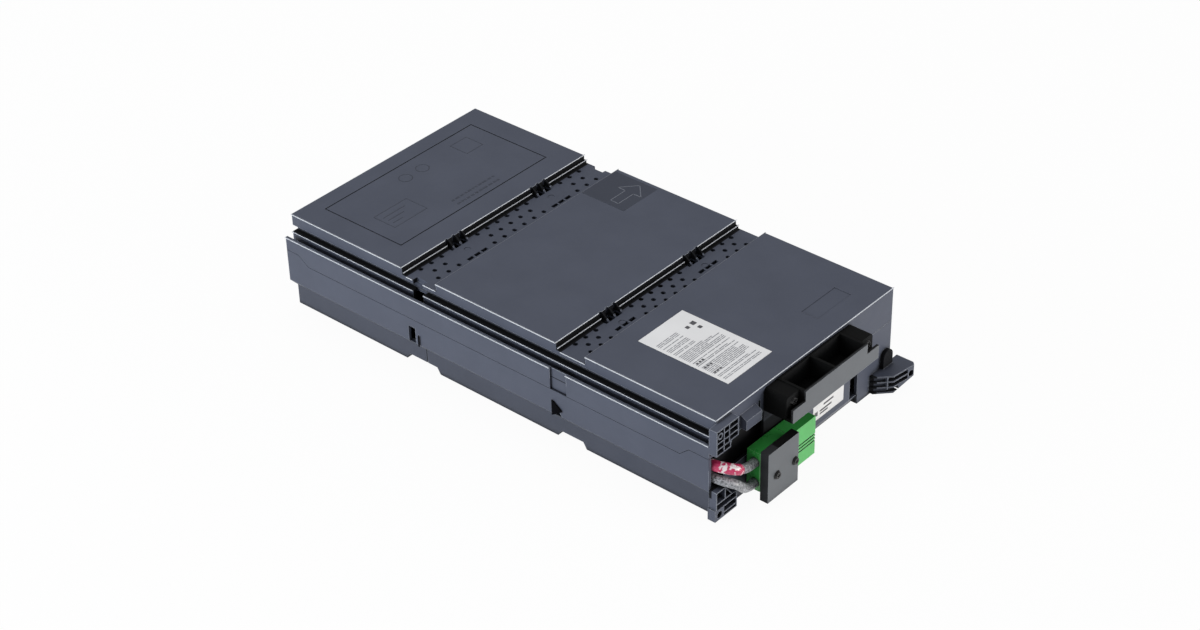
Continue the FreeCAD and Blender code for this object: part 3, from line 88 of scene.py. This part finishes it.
def noise(tree, scale, detail=4.0, rough=0.55):
    """Noise in the object's own coordinates, in metres."""
    coordinate = tree.nodes.new("ShaderNodeTexCoord")
    texture = tree.nodes.new("ShaderNodeTexNoise")
    texture.inputs["Scale"].default_value = scale
    texture.inputs["Detail"].default_value = detail
    texture.inputs["Roughness"].default_value = rough
    tree.links.new(coordinate.outputs["Object"], texture.inputs["Vector"])
    return texture.outputs["Fac"]


def ramp(tree, source, low, high, start=0.3, end=0.7):
    """Maps a value to a range, or between two colours."""
    if isinstance(low, (int, float)):
        node = tree.nodes.new("ShaderNodeMapRange")
        node.inputs["From Min"].default_value = start
        node.inputs["From Max"].default_value = end
        node.inputs["To Min"].default_value = low
        node.inputs["To Max"].default_value = high
        tree.links.new(source, node.inputs["Value"])
        return node.outputs["Result"]
    node = tree.nodes.new("ShaderNodeValToRGB")
    node.color_ramp.elements[0].position = start
    node.color_ramp.elements[0].color = (*low, 1)
    node.color_ramp.elements[1].position = end
    node.color_ramp.elements[1].color = (*high, 1)
    tree.links.new(source, node.inputs["Fac"])
    return node.outputs["Color"]


def edge_mask(tree, radius):
    """One on sharp outer and inner edges, zero on open faces: where the painted edge highlight goes."""
    bevel = tree.nodes.new("ShaderNodeBevel")
    bevel.samples = 6
    bevel.inputs["Radius"].default_value = radius
    geometry = tree.nodes.new("ShaderNodeNewGeometry")
    dot = tree.nodes.new("ShaderNodeVectorMath")
    dot.operation = "DOT_PRODUCT"
    tree.links.new(bevel.outputs["Normal"], dot.inputs[0])
    tree.links.new(geometry.outputs["True Normal"], dot.inputs[1])
    return ramp(tree, dot.outputs["Value"], 1.0, 0.0, 0.75, 0.985), bevel.outputs["Normal"]


def mix_colour(tree, factor, first, second):
    """The first colour where the factor is zero, and the second where it is one."""
    node = tree.nodes.new("ShaderNodeMix")
    node.data_type = "RGBA"
    tree.links.new(factor, node.inputs[0])
    for socket, colour in ((node.inputs[6], first), (node.inputs[7], second)):
        if isinstance(colour, tuple):
            socket.default_value = (*colour, 1)
        else:
            tree.links.new(colour, socket)
    return node.outputs[2]


def math_node(tree, operation, first, second):
    """A value from two others, each a number or a socket."""
    node = tree.nodes.new("ShaderNodeMath")
    node.operation = operation
    for socket, value in zip(node.inputs, (first, second)):
        if isinstance(value, (int, float)):
            socket.default_value = value
        else:
            tree.links.new(value, socket)
    return node.outputs[0]


def times(tree, first, second):
    return math_node(tree, "MULTIPLY", first, second)


def larger(tree, first, second):
    return math_node(tree, "MAXIMUM", first, second)


def dimmed_in(tree, shade, boxes, share):
    """The shade, times a share inside some boxes."""
    return times(tree, shade, ramp(tree, inside(tree, boxes), 1.0, share, 0.0, 1.0))


def openness(tree, reach):
    """One on open faces, and near zero in gaps, slots and inner corners; it paints shade into the colours."""
    node = tree.nodes.new("ShaderNodeAmbientOcclusion")
    node.samples = 8
    node.inputs["Distance"].default_value = reach
    return ramp(tree, node.outputs["AO"], 0.03, 1.0, 0.32, 0.82)


def inside(tree, boxes):
    """One inside any of some boxes, zero outside; each has its x and y ranges and its two drops."""
    coordinate = tree.nodes.new("ShaderNodeTexCoord")
    split = tree.nodes.new("ShaderNodeSeparateXYZ")
    tree.links.new(coordinate.outputs["Object"], split.inputs[0])
    found = None
    for x0, x1, y0, y1, deep, shallow in boxes:
        low, high = place(x0, y0, deep), place(x1, y1, shallow)
        within = 1.0
        for axis in range(3):
            near = tree.nodes.new("ShaderNodeMath")
            near.operation = "COMPARE"
            tree.links.new(split.outputs[axis], near.inputs[0])
            near.inputs[1].default_value = (low[axis] + high[axis]) / 2
            near.inputs[2].default_value = abs(high[axis] - low[axis]) / 2
            within = times(tree, near.outputs[0], within)
        found = larger(tree, found, within) if found else within
    return found


def facing_away(tree):
    """One on faces that don't look to the front, zero on those that do; used for painted shade."""
    geometry = tree.nodes.new("ShaderNodeNewGeometry")
    split = tree.nodes.new("ShaderNodeSeparateXYZ")
    tree.links.new(geometry.outputs["True Normal"], split.inputs[0])
    return ramp(tree, split.outputs[1], 0.0, 1.0, -0.8, -0.6)


def roughen(tree, shader, grain, strength, depth, smooth):
    """A fine grain on the shader's normal."""
    bump = tree.nodes.new("ShaderNodeBump")
    bump.inputs["Strength"].default_value = strength
    bump.inputs["Distance"].default_value = depth
    tree.links.new(noise(tree, grain, 2.0), bump.inputs["Height"])
    tree.links.new(smooth, bump.inputs["Normal"])
    tree.links.new(bump.outputs["Normal"], shader.inputs["Normal"])


def plastic(low, high, edge_highlight, rough, grain=2600.0, depth=0.00002, radius=0.0006, coat=0.0, spec=0.5,
            reach=0.004, pattern=None, shades=(), no_edge_highlight=(), shade_off_front=False):
    """Moulded plastic: soft changes of colour and gloss, a fine grain, a painted highlight on edges, and
    painted shade in gaps and in listed places.
    """
    def build(tree, shader):
        mask, smooth = edge_mask(tree, radius)
        # Painted shade: darker in gaps, slots and inner corners
        shade = openness(tree, reach)
        # No painted edge highlight inside these boxes
        if no_edge_highlight:
            mask = dimmed_in(tree, mask, no_edge_highlight, 0.0)
        # Painted shade inside the listed boxes
        for boxes, share in shades:
            shade = dimmed_in(tree, shade, boxes, share)
        # Painted shade: faces that don't look to the front are darkened
        if shade_off_front:
            shade = times(tree, shade, ramp(tree, facing_away(tree), 1.0, 0.18, 0.0, 1.0))
        colour = pattern(tree) if pattern else ramp(tree, noise(tree, 28.0, 6.0), low, high)
        # Painted highlight: edges take the pale edge colour, except where painted shade falls
        highlighted = mix_colour(tree, times(tree, mask, shade), colour, edge_highlight)
        # The painted shade scales the whole colour down
        dimmed = tree.nodes.new("ShaderNodeVectorMath")
        dimmed.operation = "SCALE"
        tree.links.new(highlighted, dimmed.inputs[0])
        tree.links.new(shade, dimmed.inputs["Scale"])
        tree.links.new(dimmed.outputs[0], shader.inputs["Base Color"])
        shader.inputs["Specular IOR Level"].default_value = spec
        gloss = ramp(tree, noise(tree, 75.0, 5.0, 0.65), rough[0], rough[1])
        matt = ramp(tree, shade, 1.0, 0.0, 0.0, 1.0)
        tree.links.new(larger(tree, gloss, matt), shader.inputs["Roughness"])
        roughen(tree, shader, grain, 0.35, depth, smooth)
        shader.inputs["Coat Weight"].default_value = coat
        shader.inputs["Coat Roughness"].default_value = 0.12
    return build


def metal(low, high, rough):
    """Plated metal with soft changes of colour and gloss."""
    def build(tree, shader):
        mask, smooth = edge_mask(tree, 0.0002)
        colour = ramp(tree, noise(tree, 300.0, 5.0), low, high)
        tree.links.new(mix_colour(tree, mask, colour, high), shader.inputs["Base Color"])
        shader.inputs["Metallic"].default_value = 1.0
        tree.links.new(ramp(tree, noise(tree, 500.0, 4.0), rough[0], rough[1]), shader.inputs["Roughness"])
        roughen(tree, shader, 1800.0, 0.25, 0.00001, smooth)
    return build


def speckled(tree):
    """The grey jacket with its fine dark weave."""
    return ramp(tree, noise(tree, 700.0, 4.0, 0.7), (0.060, 0.063, 0.070), (0.44, 0.45, 0.48), 0.38, 0.60)


def streaked(tree):
    """A crimson film with pale streaks."""
    return ramp(tree, noise(tree, 210.0, 2.0), (0.50, 0.028, 0.105), (0.78, 0.70, 0.71), 0.53, 0.58)


# Painted shade, darkened almost to black where the photograph is black: beside the pads, in the side groove, in
# the bay, behind the handle, at the feet
BLACK_SHADE = [(-100, 100, step - 4.4, step + 0.1, 6.2, 0.2) for step in STEPS]
BLACK_SHADE += [
    (-99.3, -94, -396, 1, 14.8, 12.6),
    (-105.3, -103.6, -396, 1, GROOVE_DROP, 23.8),
    (-103.7, -99.45, -396, 1, GROOVE_DROP, 15.0),
    (-96, -46, -394.6, -290, 60, 20),
    (-49, -24, -396, -394.6, 50, 30),
    (66, 76, -420, -395.3, 78, 46),
    (80, 100, -400, -395.3, 61, 40),
    (-107.5, -94, -397.5, -395.2, 58, 45),
    (-103.7, -94.5, -132.8, -122.6, GROOVE_DROP, 5.9),
]
# Lighter painted shade below the bend of the left wall, behind the handle and low on the pad wall above the
# groove; and painted shade inside the handle's trough
SHADE_BELOW_BEND = [(-108, -98, -396, 1, 78, BEND_DROP)]
SHADE_BEHIND_HANDLE = [(-49, 50, -396, -394.6, 30, 4.5)]
SHADE_ABOVE_GROOVE = [(-99.3, -94, -396, 1, 12.6, 10.6)]
SHADE_IN_TROUGH = [(-60, 90, -417.6, -394, 34, 0)]
# What is left of the colour in a place of black painted shade
SHADE_SHARE = 0.07
# All the painted shade boxes of the housing, each with the share of colour left
SHADES = [(BLACK_SHADE, SHADE_SHARE), (SHADE_BELOW_BEND, 0.72), (SHADE_BEHIND_HANDLE, 0.25), (SHADE_ABOVE_GROOVE, 0.45)]
# Where the painted edge highlight is left out: on the pads, on the perforated strips and along the seam
NO_HIGHLIGHT_BOXES = [(2 - PAD_HALF, PAD_HALF - 2, low + 2, high - 2, 1, -1) for low, high in PADS]
NO_HIGHLIGHT_BOXES += [(-100, 100, -283, -112, 8, 5), (-108, -104, -396, 1, 36, 25)]

HOUSING = plastic((0.066, 0.075, 0.105), (0.075, 0.085, 0.118), (0.42, 0.45, 0.51), (0.40, 0.50),
                  radius=0.0007, spec=0.25, reach=0.006, shades=SHADES, no_edge_highlight=NO_HIGHLIGHT_BOXES)
LOOKS = {
    "housing_plastic": HOUSING,
    "battery_case": plastic((0.010, 0.010, 0.012), (0.016, 0.016, 0.018), (0.05, 0.05, 0.06), (0.40, 0.55),
                            spec=0.25),
    "terminal_brass": metal((0.62, 0.57, 0.42), (0.80, 0.76, 0.62), (0.22, 0.38)),
    "foam_pad": plastic((0.010, 0.010, 0.011), (0.018, 0.018, 0.020), (0.02, 0.02, 0.022), (0.80, 0.95),
                        1500.0, 0.0002),
    "link_jacket": plastic((0.010, 0.010, 0.012), (0.018, 0.018, 0.020), (0.03, 0.03, 0.03), (0.35, 0.50)),
    "lead_jacket": plastic(None, None, (0.40, 0.41, 0.43), (0.28, 0.40), 900.0, 0.00008, 0.0012,
                           pattern=speckled),
    "sleeve_film": plastic(None, None, (0.80, 0.30, 0.40), (0.22, 0.34), radius=0.0010, pattern=streaked),
    "fuse_plastic": plastic((0.012, 0.012, 0.014), (0.020, 0.020, 0.022), (0.05, 0.05, 0.055), (0.25, 0.40)),
    "plug_plastic": plastic((0.046, 0.400, 0.066), (0.060, 0.490, 0.092), (0.25, 0.64, 0.27), (0.24, 0.36),
                            1400.0, 0.00003, 0.0005, 0.3, reach=0.004),
    "contact_plating": metal((0.60, 0.59, 0.54), (0.80, 0.79, 0.74), (0.14, 0.26)),
    # The handle: painted shade on faces that don't look to the front and inside its trough
    "handle_plastic": plastic((0.118, 0.127, 0.140), (0.133, 0.143, 0.156), (0.36, 0.38, 0.42), (0.36, 0.46),
                              radius=0.0006, spec=0.2, reach=0.012, shade_off_front=True,
                              shades=[(SHADE_IN_TROUGH, SHADE_SHARE)]),
    "screw_steel": plastic((0.006, 0.006, 0.007), (0.014, 0.014, 0.015), (0.22, 0.22, 0.23), (0.14, 0.26),
                           900.0, radius=0.0002, spec=0.3, reach=0.003),
    "label_paper": plastic((0.78, 0.78, 0.79), (0.83, 0.83, 0.84), (0.84, 0.84, 0.84), (0.42, 0.58),
                           3200.0, 0.00001, reach=0.0005),
}
MATERIALS = {name: material(name, build) for name, build in LOOKS.items()}
PALE_PRINT = material("pale_print", plastic((0.24, 0.25, 0.28), (0.36, 0.37, 0.40), (0.4, 0.4, 0.42),
                                            (0.45, 0.6), reach=0.0005))
DARK_PRINT = material("dark_print", plastic((0.06, 0.06, 0.07), (0.12, 0.12, 0.13), (0.12, 0.12, 0.13),
                                            (0.45, 0.6), reach=0.0005))
ENGRAVED = material("engraved_line", plastic((0.044, 0.050, 0.071), (0.051, 0.058, 0.081), (0.06, 0.067, 0.09),
                                             (0.45, 0.55), spec=0.25, reach=0.001))
RECESSED = material("recessed_patch", plastic((0.040, 0.046, 0.066), (0.047, 0.054, 0.076),
                                              (0.07, 0.078, 0.105), (0.42, 0.52), spec=0.25, reach=0.001))
# Painted shade: the near-black colour of sheets laid over openings
WINDOW_SHADE = material("window_shade", plastic((0.004, 0.004, 0.005), (0.008, 0.008, 0.010), (0.010, 0.010, 0.012),
                                         (0.60, 0.80), spec=0.0))
# Painted highlight: the pale colour of the bars along edges
GLINT = material("painted_edge_highlight", plastic((0.62, 0.65, 0.71), (0.74, 0.77, 0.83), (0.76, 0.79, 0.84),
                                         (0.28, 0.38), reach=0.0005))
# Raised lines, and a dim painted highlight along the rear edges of two pads
RAISED_AND_HIGHLIGHT = material("raised_line_and_highlight", plastic((0.150, 0.163, 0.200), (0.175, 0.188, 0.225), (0.18, 0.19, 0.23),
                                         (0.40, 0.50), spec=0.25, reach=0.001))

for part in frame["record"]["subparts"]:
    piece = frame["nodes"][part["node"]]
    piece.data.materials.clear()
    piece.data.materials.append(MATERIALS[part["material_slot"]])


# Drawn details
def add_mesh(name, points, faces, look):
    mesh = bpy.data.meshes.new(name)
    mesh.from_pydata([tuple(point) for point in points], [], faces)
    mesh.update()
    made = bpy.data.objects.new(name, mesh)
    bpy.context.scene.collection.objects.link(made)
    mesh.materials.append(look)
    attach(made, "root")


def prisms(name, outlines, deep, shallow, look, slot):
    """Flat-topped pieces from outlines in millimetres, seen from above, between two drops."""
    points = []
    faces = []
    for outline in outlines:
        first = len(points)
        count = len(outline)
        points += [place(x, y, deep) for x, y in outline]
        points += [place(x, y, shallow) for x, y in outline]
        faces.append([first + count + i for i in range(count)])
        faces.append([first + count - 1 - i for i in range(count)])
        for i in range(count):
            j = (i + 1) % count
            faces.append([first + i, first + j, first + count + j, first + count + i])
    add_mesh(name, points, faces, look)


def box_outline(x0, x1, y0, y1):
    return [(x0, y0), (x1, y0), (x1, y1), (x0, y1)]


def frame_outlines(x0, x1, y0, y1):
    """Four bars round a rectangle."""
    return [
        box_outline(x0, x1, y0, y0 + MARK_LINE), box_outline(x0, x1, y1 - MARK_LINE, y1),
        box_outline(x0, x0 + MARK_LINE, y0 + MARK_LINE, y1 - MARK_LINE),
        box_outline(x1 - MARK_LINE, x1, y0 + MARK_LINE, y1 - MARK_LINE),
    ]


def ring_outlines(x, y, radius, count=32):
    """Short bars that make a ring."""
    bars = []
    inner = radius - MARK_LINE
    for i in range(count):
        a = 2 * math.pi * i / count
        b = 2 * math.pi * (i + 1) / count
        bars.append([
            (x + inner * math.cos(a), y + inner * math.sin(a)),
            (x + radius * math.cos(a), y + radius * math.sin(a)),
            (x + radius * math.cos(b), y + radius * math.sin(b)),
            (x + inner * math.cos(b), y + inner * math.sin(b)),
        ])
    return bars


def bar(x0, y0, x1, y1, line):
    """A straight bar between two points."""
    span = math.hypot(x1 - x0, y1 - y0)
    dx, dy = (y0 - y1) / span * line / 2, (x1 - x0) / span * line / 2
    return [(x0 - dx, y0 - dy), (x1 - dx, y1 - dy), (x1 + dx, y1 + dy), (x0 + dx, y0 + dy)]


# Generic marks on the first pad: framed bars, two rings, a plain square and rows of dashes
PAD_SKIN = (0.1, -0.04)
MARK_LINE = 0.6
marks = frame_outlines(-64, -30, -72, -50)
for row in range(3):
    marks.append(box_outline(-60, -38 - 6 * row, -56.8 - 5 * row, -56 - 5 * row))
marks += ring_outlines(-10, -30, 5.5) + ring_outlines(8, -30, 5.5)
marks += frame_outlines(44, 62, -42, -24)
draws = random.Random(11)
for row in range(2):
    x = -12.0
    while x < 33:
        length = draws.uniform(1.6, 4.4)
        marks.append(box_outline(x, x + length, -80 - 6 * row, -78.2 - 6 * row))
        x += length + draws.uniform(0.9, 1.6)
prisms("pad_marks", marks, *PAD_SKIN, ENGRAVED, "housing_plastic")

# The darker patch with its outlined pull arrow on the second pad
prisms("pull_patch", [box_outline(56.5, 95, -186, -145.6)], *PAD_SKIN, RECESSED, "housing_plastic")
arrow = [(62, -168.7), (79, -168.7), (79, -161.5), (91, -172.5), (79, -183.5), (79, -176.3), (62, -176.3)]
lines = [bar(*arrow[i - 1], *arrow[i], 0.7) for i in range(len(arrow))]
prisms("pull_arrow", lines, PAD_SKIN[0], PAD_SKIN[1] - 0.03, RAISED_AND_HIGHLIGHT, "housing_plastic")

# Plain print on the top label: bars and blocks only, no words
rows = []
y = -312.0
while y > -371:
    x = -59.0
    limit = draws.choice((-34, -26, -20, -20))
    if -330 < y < -310:
        limit = -38
    while x < limit:
        length = draws.uniform(3, 11)
        rows.append(box_outline(x, min(x + length, limit), y - 0.7, y))
        x += length + draws.uniform(0.5, 1.0)
    y -= draws.choice((1.5, 1.5, 1.5, 3.0))
blocks = [
    box_outline(-24, -20, -316, -312), box_outline(-30, -27, -316, -313), box_outline(-24, -21, -322, -319),
]
for y in (-345, -352, -360):
    for step in range(3):
        blocks.append(box_outline(-58 + 3 * step, -56 + 3 * step, y - 1.6, y))
PAPER = (0.05, -0.03)
prisms("top_label_print", rows, *PAPER, PALE_PRINT, "label_paper")
prisms("top_label_blocks", blocks, PAPER[0], PAPER[1] - 0.01, DARK_PRINT, "label_paper")

# Plain bars on the front label, as shares of its width and height
label_low, label_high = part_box("front_label")
wide, tall = label_high.x - label_low.x, label_high.z - label_low.z
points = []
faces = []
for x0, x1, z0, z1 in ((0.34, 0.66, 0.62, 0.72), (0.22, 0.60, 0.36, 0.46),
                       (0.22, 0.48, 0.20, 0.29), (0.05, 0.15, 0.24, 0.50)):
    x0, x1 = label_low.x + x0 * wide, label_low.x + x1 * wide
    z0, z1 = label_low.z + z0 * tall, label_low.z + z1 * tall
    first = len(points)
    for y in (label_low.y + 0.05 * MM, label_low.y - 0.06 * MM):
        points += [(x0, y, z0), (x1, y, z0), (x1, y, z1), (x0, y, z1)]
    faces += [[first + 4, first + 5, first + 6, first + 7], [first + 3, first + 2, first + 1, first]]
    for i in range(4):
        j = (i + 1) % 4
        faces.append([first + i, first + j, first + 4 + j, first + 4 + i])
add_mesh("front_label_print", points, faces, DARK_PRINT)


# Painted edge highlights: thin pale bars standing just proud along edges
def glints(name, outlines, drop, look=GLINT):
    prisms(name, outlines, drop + SUNK, drop - PROUD, look, "housing_plastic")


def along_side(x, inner, spans):
    """Painted highlight bars along a left-hand wall, from just outside it to an inner line."""
    return [box_outline(x - PROUD, inner, y0, y1) for y0, y1 in spans]


step_spans = [(step, x0, x1) for step in STEPS for x0, x1 in CLIP_GAPS]
pad_lines = along_side(-PAD_HALF, -98.4, PADS)
pad_lines += [box_outline(x0, x1, step - PROUD, step + 0.45) for step, x0, x1 in step_spans]
pad_lines.append(box_outline(-PAD_HALF, PAD_HALF, FRONT - PROUD, FRONT + 0.5))
rear_lines = [box_outline(-PAD_HALF, PAD_HALF, y - SUNK, y + PROUD) for y in (-145, -283)]
ledge_lines = [box_outline(x0, x1, step - LEDGE - PROUD, step - 1.75) for step, x0, x1 in step_spans]
strip_spans = ((NOTCH[1] + 0.1, -116.5), (-145, NOTCH[0] - 0.1), (-283, -261))
# Dim painted highlight along the rear edges of the second and third pads
glints("rear_edge_highlights", rear_lines, 0, RAISED_AND_HIGHLIGHT)
glints("edge_glints", pad_lines, 0)
glints("strip_glints", along_side(-PAD_HALF, -98.5, strip_spans), STRIP_DROP)
glints("ledge_glints", ledge_lines, LEDGE_DROP)
glints("wing_glints", along_side(WING_X, -106.4, ((PANEL[1], 0), (FRONT, PANEL[0]))), WING_DROP)
glints("ridge_glints", along_side(RIDGE_X, -99.0, ((NOTCH[1], 0), (FRONT, NOTCH[0]))), RIDGE_DROP)

# Painted shade on the wing: a near-black triangle over the part's own triangular hole and partly on the wall,
# and a near-black strip for the split below the front corner of the other window
WING_SKIN = (WING_X - 0.06, WING_X + 0.1)
corners = ((-259, 41.4), (-268.4, 48), (-259, 54.6))
wedge = [place(x, y, drop) for x in WING_SKIN for y, drop in corners]
wedge_faces = [(0, 2, 1), (3, 4, 5), (0, 1, 4, 3), (1, 2, 5, 4), (2, 0, 3, 5)]
add_mesh("side_window_shade", wedge, wedge_faces, WINDOW_SHADE)
split = [box_outline(*WING_SKIN, -133.8, -132.5)]
prisms("window_split_shade", split, BEND_DROP, 45, WINDOW_SHADE, "housing_plastic")

# Floor, backdrop, lights and camera
floor_mesh = bpy.data.meshes.new("floor")
REACH = 6.0
floor_mesh.from_pydata([(-REACH, -REACH, 0), (REACH, -REACH, 0), (REACH, REACH, 0), (-REACH, REACH, 0)],
                       [], [[0, 1, 2, 3]])
floor = bpy.data.objects.new("floor", floor_mesh)
bpy.context.scene.collection.objects.link(floor)


def pale_floor(tree, shader):
    """A pale floor that looks almost white to the camera, and keeps a soft contact shadow."""
    out = [node for node in tree.nodes if node.type == "OUTPUT_MATERIAL"][0]
    pale = ramp(tree, noise(tree, 3.0), (0.86, 0.86, 0.86), (0.88, 0.88, 0.88))
    tree.links.new(pale, shader.inputs["Base Color"])
    tree.links.new(ramp(tree, noise(tree, 8.0), 0.75, 0.9), shader.inputs["Roughness"])
    glow = tree.nodes.new("ShaderNodeEmission")
    glow.inputs["Color"].default_value = (1, 1, 1, 1)
    glow.inputs["Strength"].default_value = 1.0
    path = tree.nodes.new("ShaderNodeLightPath")
    seen = larger(tree, path.outputs["Is Camera Ray"], path.outputs["Is Glossy Ray"])
    mix = tree.nodes.new("ShaderNodeMixShader")
    tree.links.new(times(tree, seen, 0.95), mix.inputs[0])
    tree.links.new(shader.outputs["BSDF"], mix.inputs[1])
    tree.links.new(glow.outputs["Emission"], mix.inputs[2])
    tree.links.new(mix.outputs["Shader"], out.inputs["Surface"])


floor_mesh.materials.append(material("pale_floor", pale_floor))

world = bpy.data.worlds.new("studio")
bpy.context.scene.world = world
world.use_nodes = True
sky = world.node_tree.nodes["Background"]
sky.inputs["Color"].default_value = (1.0, 1.0, 1.0, 1)
sky.inputs["Strength"].default_value = 0.40


def area_light(name, spot, target, size, power, tall, tint):
    """A soft lamp at a spot, turned to a target, with its width, power, height and colour."""
    lamp = bpy.data.lights.new(name, "AREA")
    lamp.energy = power
    lamp.shape = "RECTANGLE"
    lamp.size = size
    lamp.size_y = tall
    lamp.color = tint
    made = bpy.data.objects.new(name, lamp)
    made.location = spot
    made.rotation_euler = (Vector(target) - Vector(spot)).to_track_quat("-Z", "Y").to_euler()
    bpy.context.scene.collection.objects.link(made)


area_light("key", (0.9, -2.2, 0.45), (0, -0.1, 0.04), 1.3, 32, 0.7, (1.0, 0.97, 0.93))
area_light("left_fill", (-2.0, 0.8, 0.6), (0, 0, 0.04), 1.2, 34, 0.8, (0.90, 0.95, 1.0))
area_light("overhead", (0.2, 0.5, 2.2), (0, 0, 0.05), 1.6, 14, 1.6, (1.0, 1.0, 1.0))

# The camera as solved from the photograph
AZIMUTH, ELEVATION, ROLL = (math.radians(angle) for angle in (-48.592, 34.711, -1.346))
back = Vector((math.sin(AZIMUTH) * math.cos(ELEVATION), -math.cos(AZIMUTH) * math.cos(ELEVATION),
               math.sin(ELEVATION)))
level = (-back).cross(Vector((0, 0, 1))).normalized()
upward = level.cross(-back)
right = math.cos(ROLL) * level + math.sin(ROLL) * upward
up = -math.sin(ROLL) * level + math.cos(ROLL) * upward
lens = bpy.data.cameras.new("camera")
lens.lens = 75.45
lens.sensor_width = 36
lens.clip_start = 0.05
lens.clip_end = 60
camera = bpy.data.objects.new("camera", lens)
turn = Matrix((right, up, back)).transposed().to_4x4()
camera.matrix_world = Matrix.Translation(Vector((-1.11349, -0.98305, 1.05557))) @ turn
bpy.context.scene.collection.objects.link(camera)
bpy.context.scene.camera = camera
bpy.context.scene.view_settings.view_transform = "Standard"
